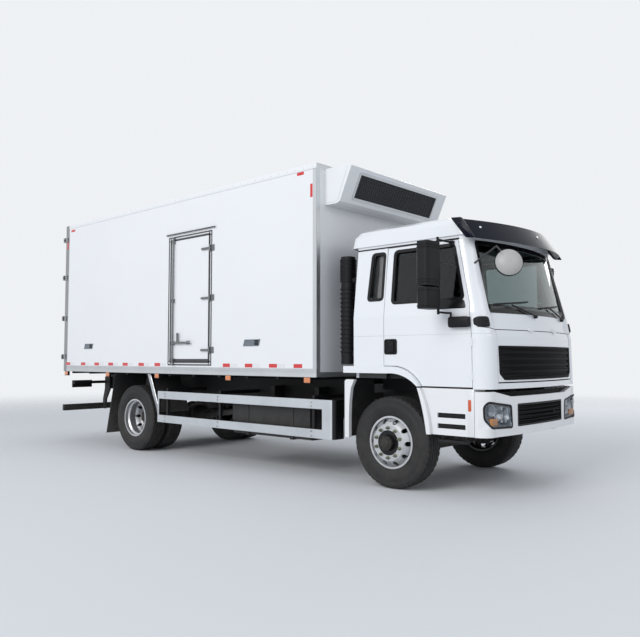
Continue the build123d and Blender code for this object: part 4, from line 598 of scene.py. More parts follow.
TAPE_Z, TAPE_HIGH, TAPE_LONG = 1.374, 0.05, 0.15
TAPE_X = (-7.14, -6.61, -6.155, -5.71, -5.27, -4.81, -4.37, -2.73, -2.27, -1.80, -1.35)
DOORLESS_X = (-3.960, -3.550, -3.140)  # on the left side alone, which has no door
red_tape = finish("red tape", (0.60, 0.020, 0.025), 0.22, coat=0.6, vary=0.12, scale=60)
pale_tape = finish("pale tape", (0.72, 0.73, 0.74), 0.22, coat=0.6, vary=0.05, scale=60)


def tape(x, z, wide, high):
    """One flat piece of tape on the box's right side."""
    return cover(rounded((x - wide / 2, x + wide / 2), (z - high / 2, z + high / 2), 0.004, 2), on_box_side,
                 ((0, 0), (0, 0.0009)))


def tape_row(stations, shift, wide):
    """Tapes along the foot of the box's right side, each shifted from its station."""
    return [tape(x + shift, TAPE_Z, wide, TAPE_HIGH) for x in stations]


corner_tapes = [tape(-1.31, 3.82, 0.12, 0.04), tape(-1.12, 3.575, 0.04, 0.17), tape(-7.05, 3.80, 0.14, 0.04),
                tape(-7.235, 3.55, 0.04, 0.15)]
red = both(tape_row(TAPE_X, 0, TAPE_LONG) + corner_tapes) + sided(tape_row(DOORLESS_X, 0, TAPE_LONG), 1)
build("red_tapes", red, "chassis", red_tape)
pale = (both(tape_row(TAPE_X[:-1], TAPE_LONG, TAPE_LONG - 0.005))
        + sided(tape_row(DOORLESS_X, TAPE_LONG, TAPE_LONG - 0.005), 1))
build("pale_tapes", pale, "chassis", pale_tape)

flaps, slats = [], []
for low_x, high_x in ((-2.38, -2.04), (-6.58, -6.28)):
    hood = bend([(low_x, 1.635), (high_x - 0.03, 1.635), (high_x, 1.725), (low_x + 0.03, 1.725)], 0.008,
                closed=True)
    flaps.append(cover(hood, on_box_side, ((0, -0.002), (0, 0.006), (0.006, 0.009), (0.010, 0.009),
                                           (0.014, 0.004))))
    slats += [cover(rounded((high_x - 0.112, high_x - 0.034), (z, z + 0.012), 0.003, 2), on_box_side,
                    ((0, 0.003), (0, 0.007), (0.003, 0.011))) for z in (1.650, 1.667, 1.684, 1.701)]
flap_grey = finish("flap plastic", (0.155, 0.180, 0.205), 0.42, vary=0.1, grain=0.2)
build("vent_flaps", both(flaps), "chassis", flap_grey)
build("vent_slats", both(slats), "chassis", dark_plastic)

# Side door. A panel like the walls in a frame of stainless strips under a gutter, with a full-height
# lock rod, its cams and keepers, and a black seal round the leaf. The strips and the gutter's face are drawn
# dark grey: stainless in painted shade.
frame_out = rounded((-4.100, -3.060), (1.365, 3.320), 0.010, 2)
leaf_edge = rounded((-4.052, -3.102), (1.407, 3.278), 0.010, 2)
# The door's stainless strips and the gutter's face are drawn dark grey: painted shade.
stainless_strip_shade = finish("stainless strip in painted shade", (0.085, 0.088, 0.092), 0.36, metal=0.6, vary=0.1, scale=4, grain=0.1)
build("door_frame_strips", [band(frame_out, 0.020, on_box_side, -0.001, 0.004)], "chassis",
      stainless_strip_shade)
hinge_side = [block((-3.135, -3.103), (-1.2545, -1.2495), (1.407, 3.278)),
              block((-4.052, -3.103), (-1.2540, -1.2495), (1.407, 1.462))]
build("side_door_strips", [band(leaf_edge, 0.016, on_box_side, -0.001, 0.003), *hinge_side], "side_door",
      stainless_strip_shade)
gutter_face = [block((-4.142, -2.968), (-1.2755, -1.2725), (3.349, 3.364))]
build("door_gutter_face", gutter_face, "chassis", stainless_strip_shade)
build("side_door_seal", [band(inset(leaf_edge, 0.0165), 0.009, on_box_side, -0.001, 0.0045)], "side_door",
      flap_rubber)
keepers = [block((-3.992, -3.928), (-1.285, -1.2505), (z, z + 0.010)) for z in (1.385, 1.372, 3.290, 3.303)]
build("side_door_keepers", keepers, "chassis", stainless, bevel=0.003)
lever = bend([(-3.62, -1.288, 1.700), (-3.60, -1.300, 1.706), (-3.54, -1.302, 1.708), (-3.50, -1.300, 1.706)],
             0.01)


def tube(path, section, up=(0, 0, 1), closed=False):
    """A section (u, v) carried along a path, u along up x the path, v square to both. A number is a round
    section's radius."""
    path = np.asarray(path, float)
    if np.isscalar(section):
        angle = np.linspace(0, 2 * math.pi, 10, endpoint=False)
        section = section * np.stack([np.cos(angle), np.sin(angle)], -1)
    u, v = np.asarray(section, float).T[:, None, :, None]
    before, after = (path[-1], path[0]) if closed else (2 * path[0] - path[1], 2 * path[-1] - path[-2])
    padded = np.vstack([before, path, after])
    run = np.diff(padded, axis=0)
    run /= np.linalg.norm(run, axis=1, keepdims=True)
    run = run[:-1] + run[1:]
    across = np.cross(up, run)
    across /= np.linalg.norm(across, axis=1, keepdims=True)
    over = np.cross(run, across)
    over /= np.linalg.norm(over, axis=1, keepdims=True)
    rings = path[:, None] + u * across[:, None] + v * over[:, None]
    return skin(np.concatenate([rings, rings[:1]]) if closed else rings, caps=not closed)


build("side_door_lever", [tube(lever, 0.011)], "side_door", stainless)

# Rear doors. Two leaves in the stainless frame, with black seals, hinge straps and lock rods.
for side, name in SIDES:
    leaf = rounded(sorted((side * 0.010, side * 1.181)), (1.349, 3.811), 0.008, 2)
    build(f"rear_door_seal_{name}", [band(leaf, 0.016, on_box_rear, -0.001, 0.004)], f"rear_door_{name}",
          flap_rubber)
keepers = [block((-7.345, -7.3005), (y - 0.032, y + 0.032), (z, z + 0.012))
           for y in (-0.76, -0.18, 0.18, 0.76) for z in (1.318, 1.331, 3.826, 3.839)]
build("rear_door_keepers", keepers, "chassis", stainless, bevel=0.003)

# Cooling unit. White plastic covers round a face that leans back, a grey frame with a black
# expanded mesh over the coil, and a white evaporator on the bulkhead inside the box.
unit_white = finish("unit white", (0.77, 0.78, 0.79), 0.38, coat=0.2, vary=0.02, grain=0.1, grain_scale=200)
unit_mesh = finish("unit mesh", (0.060, 0.063, 0.068), 0.5, vary=0.1, specular=0.4)
unit_coil = finish("unit coil", (0.016, 0.017, 0.019), 0.5, vary=0.2, specular=0.3)
dress("cooling_unit evaporator", unit_white)
dress("cooling_grille", unit_coil)
FACE_TOP, FACE_LOW = np.array((-0.600, 0, 3.835)), np.array((-0.790, 0, 3.420))
face_up = (FACE_TOP - FACE_LOW) / np.linalg.norm(FACE_TOP - FACE_LOW)
face_out = np.cross((0, 1, 0), face_up)


def on_unit(points, lift):
    """Points (y, up the leaning face from its middle), lifted off the face."""
    return (FACE_TOP + FACE_LOW) / 2 + points @ [(0, 1, 0), face_up] + lift * face_out


opening = rounded((-0.871, 0.871), (-0.160, 0.160), 0.015)
build("unit_mesh_frame", [band(inset(opening, -0.022), 0.034, on_unit, -0.004, 0.007)], "chassis",
      aluminium, bevel=0.002)
PITCH, HALF_W, HALF_H = 0.040, 0.852, 0.142
STRAND = [(-0.003, -0.0015), (0.003, -0.0015), (0.003, 0.0015), (-0.003, 0.0015)]
starts = np.arange(-HALF_W - 2 * HALF_H, HALF_W, PITCH)
strands = []
for slope in (-1, 1):
    for start in starts:
        low, high = max(start, -HALF_W), min(start + 2 * HALF_H, HALF_W)
        ends = np.array([(low, low - start - HALF_H), (high, high - start - HALF_H)]) * (slope, 1)
        if high - low > 0.01:
            strands.append(tube(on_unit(ends, -0.004 - 0.003 * slope), STRAND, up=face_out))
build("unit_diamond_mesh", strands, "chassis", unit_mesh)
build("unit_backing", [cover(inset(opening, 0.004), on_unit, ((0, -0.030), (0, -0.026)))], "chassis",
      unit_coil)
cap_line = [(-0.66, -1.0925, 3.842), (-0.83, -1.0925, 3.425), (-1.01, -1.0925, 3.425)]
build("unit_cap_lines", both([tube(bend(cap_line, 0.03), 0.003, up=(0, 1, 0))]), "chassis",
      unit_white)


# Bumper and headlamps. A painted bumper with black-framed lamps let into its corners: grey bowls,
# bright bars and an amber turn lamp behind one clear cover, and a barred black intake between them.
def bowed(y, half, side_end, corner_x, corner_y, nose):
    """Plan of the cab's front or the bumper: a shallow circular bow across the nose, and at each corner a
    tighter arc that starts square to the side at side_end."""
    sag, run, rise = nose - corner_x, corner_x - side_end, half - corner_y
    bow = (corner_y ** 2 + sag ** 2) / (2 * sag)
    turn = (run ** 2 + rise ** 2) / (2 * rise)
    out = np.abs(y)
    flat = nose - bow + np.sqrt(bow ** 2 - np.minimum(out, corner_y) ** 2)
    past = np.clip(out - half + turn, 0, turn)
    return np.where(out <= corner_y, flat, side_end + np.sqrt(np.maximum(turn ** 2 - past ** 2, 0)))


BUMPER_HALF = 1.154
plan_y = BUMPER_HALF * np.sin(np.linspace(-math.pi / 2, math.pi / 2, 1201))
plan_x = bowed(plan_y, BUMPER_HALF, side_end=1.100, corner_x=1.225, corner_y=0.985, nose=1.292)
plan = np.stack([plan_x, plan_y], -1)
plan_s = np.concatenate([[0], np.cumsum(np.linalg.norm(np.diff(plan, axis=0), axis=1))])
plan_s -= plan_s[-1] / 2


def on_bumper(points, lift):
    """Points (s, z), lifted square to the bumper. s is the way round it from its middle to the left."""
    points = np.asarray(points, float)
    s = points[:, 0]
    at, near, beyond = (np.stack([np.interp(s + step, plan_s, plan[:, k]) for k in (0, 1)], -1)
                        for step in (0, -0.004, 0.004))
    way = beyond - near
    out = np.stack([way[:, 1], -way[:, 0]], -1) / np.linalg.norm(way, axis=1, keepdims=True)
    return np.column_stack([at + lift * out, points[:, 1]])


def fine(outline, step=0.03):
    """The same closed outline with points at most a step apart, for laying on a bowed surface."""
    outline = np.asarray(outline, float)
    ends = np.roll(outline, -1, 0)
    counts = np.maximum(1, np.ceil(np.linalg.norm(ends - outline, axis=1) / step)).astype(int)
    return np.concatenate([a + (b - a) * np.arange(n)[:, None] / n for a, b, n in zip(outline, ends, counts)])


cab_white = finish("cab white", (0.775, 0.780, 0.788), 0.34, coat=0.8, vary=0.012, scale=1.0, dust=0.05,
                   dust_top=1.0)
chrome = finish("lamp reflector", (0.85, 0.87, 0.89), 0.16, metal=1.0, vary=0.05, scale=20)
dress("bumper", cab_white)
grille_black = finish("grille black", (0.004, 0.004, 0.005), 0.6, vary=0.15, specular=0.1)
dress("bumper_grille front_grille", grille_black)
OPENING = fine(rounded((-1.209, -0.690), (0.736, 1.036), 0.025, 8))
LAMP = fine(bend([(-1.070, 0.742), (-0.672, 0.730), (-0.688, 0.978), (-1.115, 1.030), (-1.169, 0.975),
                  (-1.163, 0.835)], 0.035, closed=True))
LAMP_MIDDLE = (-0.925, 0.885)


def spoked(outline, count=144):
    """The same closed outline as points at even angles about the lamp's middle, its reach read at each."""
    away = outline - LAMP_MIDDLE
    angle, reach = np.arctan2(away[:, 1], away[:, 0]), np.linalg.norm(away, axis=1)
    at = np.linspace(-math.pi, math.pi, count, endpoint=False)
    reach = np.interp(at, angle[np.argsort(angle)], reach[np.argsort(angle)], period=2 * math.pi)
    return LAMP_MIDDLE + reach[:, None] * np.stack([np.cos(at), np.sin(at)], -1)


edge_out, edge_in = spoked(inset(OPENING, -0.004)), spoked(inset(LAMP, 0.006))
surround = skin([on_bumper(edge_out, -0.003), on_bumper(edge_out, 0.0008), on_bumper(edge_in, 0.0012),
                 on_bumper(edge_in, -0.010), on_bumper(edge_out, -0.003)], caps=False)
build("headlamp_surrounds", both([surround]), "chassis", cab_white)
build("headlamp_frames", both([band(LAMP, 0.020, on_bumper, -0.055, 0.006)]), "chassis",
      dark_plastic, bevel=0.003)
lamp_silver = finish("lamp housing", (0.13, 0.14, 0.16), 0.35, metal=0.3, vary=0.1, scale=8)
bowl_silver = finish("lamp bowls", (0.36, 0.38, 0.42), 0.2, metal=1.0, vary=0.1, scale=20)
housing = [cover(inset(LAMP, 0.019), on_bumper, ((0, -0.062), (0, -0.052), (0.02, -0.050), (0.07, -0.050))),
           band(inset(LAMP, 0.0205), 0.016, on_bumper, -0.050, -0.010)]
build("headlamp_backs", both(housing), "chassis", lamp_silver)
bowls = []
for s, z, size in ((-0.782, 0.878, 0.078), (-0.935, 0.895, 0.070), (-1.062, 0.932, 0.056)):
    centre, ahead = on_bumper([(s, z)], -0.048)[0], on_bumper([(s, z)], 0)[0] - on_bumper([(s, z)], -0.1)[0]
    depth = np.linspace(0, 1, 9)
    bowl = np.stack([0.003 + 0.034 * depth ** 2, size * depth], -1)
    back = np.array([(0.034, size + 0.005), (-0.003, size + 0.005), (-0.003, 0)])
    bowls.append(lathe(np.vstack([bowl, bowl[-1:] + (0.002, 0.005), back]), centre, ahead, 32, caps=False))
    bowls.append(lathe([(0.004, 0.014), (0.024, 0.014), (0.028, 0.010), (0.029, 0)], centre, ahead, 16))
build("headlamp_reflectors", both(bowls), "chassis", bowl_silver)
flutes = [cover(fine(rounded((s - 0.004, s + 0.004), (0.800, 0.965), 0.003, 2)), on_bumper,
                ((0, -0.052), (0, -0.014))) for s in (-0.872, -0.858, -0.844)]
build("headlamp_bars", both(flutes), "chassis", chrome)
turn_lamp = fine(rounded((-1.085, -0.930), (0.772, 0.846), 0.015))
turn_amber = finish("turn lamp", (0.62, 0.23, 0.015), 0.2, vary=0.15, scale=40, grain=0.3, grain_scale=200)
turn_lamps = both([cover(turn_lamp, on_bumper, ((0, -0.056), (0, -0.012), (0.008, -0.006)))])
build("turn_lamps", turn_lamps, "chassis", turn_amber)
lamp_cover = finish("lamp cover", (0.30, 0.34, 0.38), 0.04, vary=0.02)
lamp_cover.node_tree.nodes["Principled BSDF"].inputs["Alpha"].default_value = 0.12
lens = cover(inset(LAMP, 0.0205), on_bumper,
             ((0, -0.003), (0, 0.001), (0.012, 0.004), (0.05, 0.005), (0.09, 0.005)))
build("headlamp_lenses", both([lens]), "chassis", lamp_cover, replaced=["headlamps"])
INTAKE = fine(rounded((-0.570, 0.570), (0.742, 0.985), 0.02))
build("intake_frame", [band(INTAKE, 0.020, on_bumper, -0.064, 0.003)], "chassis",
      dark_plastic, bevel=0.002)
# A black sheet closes the intake behind its frame: painted shade for the dark behind the bars.
build("intake_shade_sheet", [cover(inset(INTAKE, 0.006), on_bumper, ((0, -0.072), (0, -0.066)))], "chassis",
      grille_black)
bars = [cover(fine(rounded((-0.545, 0.545), (z, z + 0.010), 0.004, 2)), on_bumper,
              ((0, -0.020), (0, -0.004))) for z in np.arange(0.772, 0.960, 0.024)]
build("intake_bars", bars, "chassis", grille_black)

# Step boxes. White boxes behind the bumper with two dark treads in their recesses, a corner strip
# with an amber reflector, and a ribbed foot bar hung below.
dress("step_boxes", cab_white)


def on_step(points, lift):
    """Points (x, z) on the right step box's outer face."""
    return on_box_side(points, lift - 0.108)


strip = rounded((0.990, 1.072), (0.658, 1.148), 0.012)
build("corner_strips", both([cover(strip, on_step, ((0, -0.001), (0, 0.006), (0.004, 0.008)))]), "chassis",
      cab_white)
reflector = rounded((1.004, 1.040), (0.920, 1.040), 0.006)
reflex = finish("side reflector", (0.58, 0.085, 0.02), 0.15, coat=0.6, vary=0.1, scale=30)
build("corner_reflectors", both([cover(reflector, on_step, ((0, 0.007), (0, 0.010), (0.004, 0.012)))]),
      "chassis", reflex)
treads = [block((0.6255, 0.9645), (-1.118, -1.0325), z) for z in ((0.7255, 0.775), (0.8385, 0.889))]
treads += [block((x, x + 0.012), (-1.136, -1.118), (z, z + 0.006)) for x in np.arange(0.64, 0.955, 0.026)
           for z in (0.7252, 0.8382)]
bar = rounded((1.014, 1.136), (0.570, 0.605), 0.010)
treads.append(extruded(bar, (0.634, 0.946)))
treads += [block((x, x + 0.010), (-1.130, -1.020), (0.604, 0.609)) for x in np.arange(0.65, 0.935, 0.024)]
treads += [block((x - 0.016, x + 0.016), (-1.094, -1.056), (0.600, 0.6545)) for x in (0.66, 0.92)]
build("step_treads", both(treads), "chassis", dark_plastic)

# Cab shell. White enamel over pressed steel with a clear coat, lined with dark trim; windows bonded
# behind black bands, a ribbed black grille in the lid, thin panel lines and recessed black handles.
# Its front's plans, row by row: height, half width, where the sides end, the corners' x and y, the nose.
BELT, HEAD, CAB_HALF, HEAD_HALF = 1.950, 2.755, 1.142, 1.045
CAB_ROWS = np.array([(1.150, CAB_HALF, 1.075, 1.240, 0.930, 1.335),
                     (1.700, CAB_HALF, 1.062, 1.228, 0.930, 1.325),
                     (BELT, CAB_HALF, 1.030, 1.158, 0.928, 1.285),
                     (HEAD, HEAD_HALF, 0.850, 0.978, 0.903, 1.115)])
SIDE_LEAN = (CAB_HALF - HEAD_HALF) / (HEAD - BELT)
SCREEN_LEAN = (1.285 - 1.115) / (HEAD - BELT)
# Middles and half sizes of the boxes that hold the inside, and where its pale pillars and the crease are.
LINING = (((0.295, 0, 1.980), (0.785, 1.100, 0.820)), ((0.200, 0, 2.860), (0.690, 0.900, 0.150)))
PILLAR_X, CREASE_Y, CREASE_LOW, CREASE_TOP = 0.90, 1.02, 1.722, 1.736


def lined(shell):
    """Trim inside the cab: dark where a point, moved out by the side's lean and forward by the
    windscreen's, is within one of two boxes, and pale on the pillars in front. A crease runs along the
    door above the handle."""
    tree = shell.node_tree
    surface = tree.nodes["Principled BSDF"]
    spot = axes(tree)
    above = maths(tree, "MAXIMUM", maths(tree, "ADD", spot["Z"], -BELT), 0.0)
    out = maths(tree, "MULTIPLY_ADD", above, SIDE_LEAN, maths(tree, "ABSOLUTE", spot["Y"]))
    along = maths(tree, "MULTIPLY_ADD", above, SCREEN_LEAN, spot["X"])
    upright = node(tree, "CombineXYZ", {0: along, 1: out, 2: spot["Z"]}).outputs[0]
    inside = 0.0
    for (x, y, z), half in LINING:
        away = vectors(tree, "SUBTRACT", upright, (x + FRONT_AXLE, y, z))
        past = axes(tree, vectors(tree, "SUBTRACT", vectors(tree, "ABSOLUTE", away), half))
        most = maths(tree, "MAXIMUM", maths(tree, "MAXIMUM", past["X"], past["Y"]), past["Z"])
        inside = maths(tree, "MAXIMUM", inside, maths(tree, "LESS_THAN", most, 0.0))
    front = maths(tree, "GREATER_THAN", along, FRONT_AXLE + PILLAR_X)
    painted(shell, inside, blend(tree, front, (0.022, 0.023, 0.026, 1), (0.46, 0.44, 0.40, 1)))
    feed(surface, {"Coat Weight": ranged(tree, inside, 0.0, 1.0, 0.8, 0.0)})
    side = maths(tree, "GREATER_THAN", out, CREASE_Y)
    step = ranged(tree, spot["Z"], CREASE_LOW, CREASE_TOP, shape="SMOOTHSTEP")
    raised(surface, maths(tree, "MULTIPLY", step, side), 1.0, 0.004)


cab_shell = finish("cab shell", (0.77, 0.785, 0.81), 0.34, vary=0.012, scale=1.0, dust=0.05, dust_top=1.0)
lined(cab_shell)
dress("cab_front front_lid cab_sides cab_rear_wall cab_roof cab_door_right cab_door_left", cab_shell)


def on_cab_front(points, lift):
    """Points (y, z) on the cab's front, whose plan changes evenly from row to row, moved forward by
    lift."""
    points = np.asarray(points, float)
    y, z = points[:, 0], points[:, 1]
    plan_at = [np.interp(z, CAB_ROWS[:, 0], CAB_ROWS[:, k]) for k in range(1, 6)]
    return np.stack([bowed(y, *plan_at) + lift, y, z], -1)


def on_cab_side(points, lift):
    """Points (x, z) on the cab's right side, which leans in above the belt, lifted off it."""
    out = CAB_HALF - SIDE_LEAN * np.maximum(points[:, 1] - BELT, 0)
    return np.insert(points, 1, -out - lift, axis=1)


band_black = finish("window band", (0.006, 0.006, 0.007), 0.25, vary=0.05, specular=0.35)
SCREEN = bend([(-0.968, 1.965), (0.968, 1.965), (0.935, 2.735), (-0.935, 2.735)], 0.05, closed=True)
SCREEN = fine(SCREEN, 0.05)
build("screen_band", [band(inset(SCREEN, -0.012), 0.052, on_cab_front, -0.012, 0.003)], "cab",
      band_black)
lower = fine([(-0.93, 1.985), (0.93, 1.985), (0.93, 2.045), (-0.93, 2.045)], 0.05)
build("screen_lower_band", [cover(lower, on_cab_front, ((0, -0.010), (0, -0.002)))], "cab",
      band_black)
QUARTER = bend([(-0.330, 2.150), (-0.120, 2.150), (-0.120, 2.700), (-0.300, 2.700)], 0.04, closed=True)
DOOR_WINDOW = bend([(0.020, 2.100), (0.950, 2.100), (0.800, 2.705), (0.020, 2.705)], 0.05, closed=True)
build("quarter_bands", both([band(inset(QUARTER, -0.016), 0.036, on_cab_side, -0.020, 0.003)]), "cab",
      band_black)
window_band = band(inset(DOOR_WINDOW, -0.016), 0.036, on_cab_side, -0.020, 0.003)
dip = bend([(0.600, 2.094), (0.640, 2.000), (0.985, 2.000), (0.958, 2.094)], 0.03, closed=True)
dip = cover(dip, on_cab_side, ((0, -0.002), (0, 0.003), (0.004, 0.004)))
well, grip = rounded((-0.075, 0.100), (1.515, 1.690), 0.028), rounded((-0.010, 0.060), (1.540, 1.665), 0.015)
LOCK = [(-0.001, 0.011), (0.012, 0.011), (0.013, 0.009), (0.013, 0)]
handle = [cover(well, on_cab_side, ((0, -0.002), (0, 0.007), (0.006, 0.009), (0.014, 0.009), (0.020, 0.001))),
          cover(grip, on_cab_side, ((0, -0.001), (0, 0.012), (0.005, 0.018), (0.010, 0.019))),
          lathe(LOCK, (-0.045, -CAB_HALF, 1.60), (0, -1, 0), 16)]
for side, name in SIDES:
    door = f"cab_door_{name}"
    build(f"door_window_band_{name}", sided([window_band], side), door, band_black)
    build(f"door_window_dip_{name}", sided([dip], side), door, band_black)
    build(f"door_handle_{name}", sided(handle, side), door, dark_plastic)

GRILLE = [(-0.830, 1.245), (0.830, 1.245), (0.905, 1.310), (0.912, 1.600), (-0.912, 1.600), (-0.905, 1.310)]
rim = fine(bend(GRILLE, 0.015, closed=True), 0.05)
parts = [band(inset(rim, -0.004), 0.022, on_cab_front, -0.020, 0.005)]
for z in np.arange(1.275, 1.585, 0.034):
    half = np.interp(z, (1.245, 1.310, 1.600), (0.815, 0.890, 0.897))
    parts.append(cover(fine(rounded((-half, half), (z, z + 0.019), 0.006, 3), 0.06), on_cab_front,
                       ((0, -0.022), (0, -0.003), (0.004, 0.001))))
build("lid_grille_bars", parts, "front_lid", grille_black)
y_run = -np.linspace(0.935, 1.132, 16)
panel_line = on_cab_front(np.stack([y_run, 1.772 + 0.028 * (np.abs(y_run) - 0.935) / 0.2], -1), 0.0005)
build("panel_lines", both([tube(panel_line, 0.0028)]), "cab", dark_plastic)
gutter = np.array([(-0.53, 2.764), (0.86, 2.764)])
build("roof_gutter", both([tube(on_cab_side(gutter, 0.002), 0.008)]), "cab", dark_plastic)

# Wipers. Two black arms from spindles under the windscreen, their blades lying along its lower edge.
BLADE = [(-0.004, -0.010), (0.004, -0.010), (0.006, 0.008), (-0.006, 0.008)]
SPINDLE = [(-0.03, 0.020), (0.030, 0.020), (0.036, 0.014), (0.036, 0)]
parts = []
for root, far in ((-0.15, -0.86), (0.75, 0.05)):
    sweep = np.linspace(0, 1, 14)[:, None]
    arm = np.array((root, 1.935)) + sweep * (np.array((far, 2.085)) - (root, 1.935)) * (0.62, 0.75)
    blade = np.array((far - 0.01, 2.045)) + sweep * np.array((0.62, 0.055))
    parts += [tube(on_cab_front(arm, 0.030 - 0.008 * sweep[:, 0]), 0.009),
              tube(on_cab_front(blade, 0.012), BLADE),
              lathe(SPINDLE, on_cab_front([(root, 1.935)], 0.0)[0], (1, 0, 0.15), 18)]
build("wipers", parts, "cab", dark_plastic)


# Glass. Dark-tinted panes in the doors and behind them, a lighter windscreen. The quarter windows
# let the light through to the curtains behind them.
def glass(name, colour):
    """Clear glass of one tint, with a faint cloud of dust in its roughness."""
    made, tree, surface = fresh(name)
    haze = ranged(tree, noise(tree, place_in(tree), 3.0, 4.0), 0.35, 0.75, 0.0, 0.03)
    feed(surface, {"Base Color": colour, "Transmission Weight": 1.0, "IOR": 1.45, "Roughness": haze})
    return made


SCREEN_TINT, QUARTER_TINT, QUARTER_ALPHA = (0.42, 0.50, 0.49, 1), (0.36, 0.39, 0.42, 1), 0.42
QUARTER_X = (-0.40, 0.30)
window_glass = glass("window glass", SCREEN_TINT)
tree = window_glass.node_tree
along = axes(tree)["X"]
behind = maths(tree, "LESS_THAN", along, FRONT_AXLE + QUARTER_X[1])
quarter = maths(tree, "MULTIPLY", behind, maths(tree, "GREATER_THAN", along, FRONT_AXLE + QUARTER_X[0]))
feed(tree.nodes["Principled BSDF"], {"Base Color": blend(tree, behind, SCREEN_TINT, QUARTER_TINT),
                                     "Alpha": ranged(tree, quarter, 0.0, 1.0, 1.0, QUARTER_ALPHA)})
door_glass = glass("door glass", (0.28, 0.33, 0.34, 1))
dress("cab_glass", window_glass)
dress("door_glass_right door_glass_left", door_glass)

# Mirrors. Black ribbed housings on bent rods, their glasses facing back, on a base at the door's
# front edge, and a grey dish with a dark rim over the right front corner.
mirror_silver = finish("mirror glass", (0.75, 0.78, 0.80), 0.03, metal=1.0, vary=0.02)
dress("mirror_right mirror_left", dark_plastic)
panes = []
for bounds in ((2.250, 2.665), (2.003, 2.187)):
    pane = rounded((1.345, 1.535), bounds, 0.03) * (-1, 1)
    panes.append(skin([np.insert(pane, 0, x, axis=1) for x in (0.650, 0.642)]))
ring = rounded((0.643, 0.802), (1.308, 1.572), 0.045) * (1, -1)
ribs = [tube(np.insert(ring, 2, z, axis=1), 0.004, closed=True)
        for z in (2.262, 2.290, 2.625, 2.652, 2.012, 2.178)]


def on_mirror_base(points, lift):
    """Points (x, z) on the outer face of the right mirror's base."""
    return on_cab_side(points, lift + 0.055)


foot = rounded((0.800, 1.044), (1.795, 1.910), 0.030)
ribs.append(cover(foot, on_mirror_base, ((0, -0.02), (0, 0.001), (0.010, 0.007))))
for side, name in SIDES:
    door = f"cab_door_{name}"
    build(f"mirror_glass_{name}", sided(panes, side), door, mirror_silver)
    build(f"mirror_ribs_{name}", sided(ribs, side), door, dark_plastic)
corner = fine(rounded((-1.1395, -1.035), (1.797, 1.908), 0.034), 0.012)
corner = cover(corner, on_cab_front,
               ((0, -0.004), (0, 0.012), (0.010, 0.020), (0.030, 0.021), (0.044, 0.021)))
build("mirror_corner_trim", both([corner]), "cab", dark_plastic)

# The dish's rim circle and its axis. The paint is grey beyond a plane that lies before that circle.
DISH_AT, DISH_AXIS, DISH_R = (1.3561, -0.900, 2.467), (0.62, -0.76, 0.17), 0.145
dish_paint = finish("dish plastic", (0.020, 0.020, 0.022), 0.42, vary=0.1, grain=0.2)
tree = dish_paint.node_tree
place = place_in(tree)
middle = (DISH_AT[0] + FRONT_AXLE, *DISH_AT[1:])
near = maths(tree, "LESS_THAN", vectors(tree, "DISTANCE", place, middle), DISH_R + 0.0025)
ahead = maths(tree, "GREATER_THAN", vectors(tree, "DOT_PRODUCT", place, DISH_AXIS),
              float(np.dot(DISH_AXIS, middle)) + 0.022)
painted(dish_paint, maths(tree, "MULTIPLY", near, ahead), (0.42, 0.41, 0.395, 1))
dress("kerb_mirror", dish_paint)
rim = [(-0.003, DISH_R - 0.012), (-0.003, DISH_R + 0.001), (0.008, DISH_R + 0.003), (0.020, DISH_R + 0.001),
       (0.022, DISH_R - 0.006), (0.010, DISH_R - 0.012), (-0.003, DISH_R - 0.012)]
build("kerb_mirror_rim", [lathe(rim, DISH_AT, DISH_AXIS, 56, caps=False)], "cab",
      dark_plastic)
pane = [(-0.001, 0.134), (-0.003, 0.132), (-0.006, 0.08), (-0.007, 0)]
build("kerb_mirror_glass", [lathe(pane, DISH_AT, DISH_AXIS, 48)], "cab", mirror_silver)

# Sun visor. A dark glossy band bowed over the windscreen, with screwed end caps and small lamps.
visor_dark = finish("visor plastic", (0.005, 0.006, 0.014), 0.30, vary=0.1, specular=0.14)
dress("sun_visor", visor_dark)
CAP_SCREW = [(-0.004, 0.016), (0.004, 0.016), (0.006, 0.012), (0.006, 0)]
SPOT = [(-0.012, 0.016), (0.004, 0.016), (0.008, 0.012), (0.009, 0)]
SPOT_UP = 0.62
# The visor's lower and upper edge: x and z at its ends, then at its middle.
LOW_EDGE = np.array(((1.000, 2.755), (1.362, 2.715)))
TOP_EDGE = np.array(((0.850, 2.975), (1.205, 2.950)))


def on_visor_end(points, lift):
    """Points (x, z) on the sun visor's right end."""
    return on_box_side(points, lift - 0.132)


end_cap = bend([(0.985, 2.748), (1.090, 2.735), (0.935, 2.975), (0.800, 2.985)], 0.02, closed=True)
caps = [cover(end_cap, on_visor_end, ((0, -0.012), (0, 0.004), (0.006, 0.008))),
        lathe(CAP_SCREW, (0.905, -1.126, 2.905), (0, -1, 0), 16)]
build("visor_end_caps", both(caps), "cab", visor_dark)
spots = []
for y in (-0.90, 0.0, 0.90):
    bow = 1 - (y / 1.118) ** 2
    low, top = (side_at + bow * (middle_at - side_at) for side_at, middle_at in (LOW_EDGE, TOP_EDGE))
    x, z = low + SPOT_UP * (top - low)
    spots.append(lathe(SPOT, (x, y, z), (0.235, 0.12 * np.sign(y), 0.157), 20))
build("visor_lamps", spots, "cab", chrome)

# Intake stack. A ribbed black air duct behind the cab, slatted near its top.
dress("intake_stack", dark_plastic)
SLAT = [(-0.005, -0.010), (0.005, -0.010), (0.002, 0.010), (-0.006, 0.010)]
around = rounded((-0.822, -0.653), (-1.077, -0.903), 0.07, 8)
ribs = [tube(np.insert(around, 2, z, axis=1), 0.008, closed=True) for z in np.arange(1.55, 2.34, 0.055)]
around = inset(around, -0.002)
slats = [tube(np.insert(around, 2, z, axis=1), SLAT, closed=True) for z in np.arange(2.42, 2.68, 0.032)]
build("intake_stack_ribs", ribs + slats, "cab", dark_plastic)

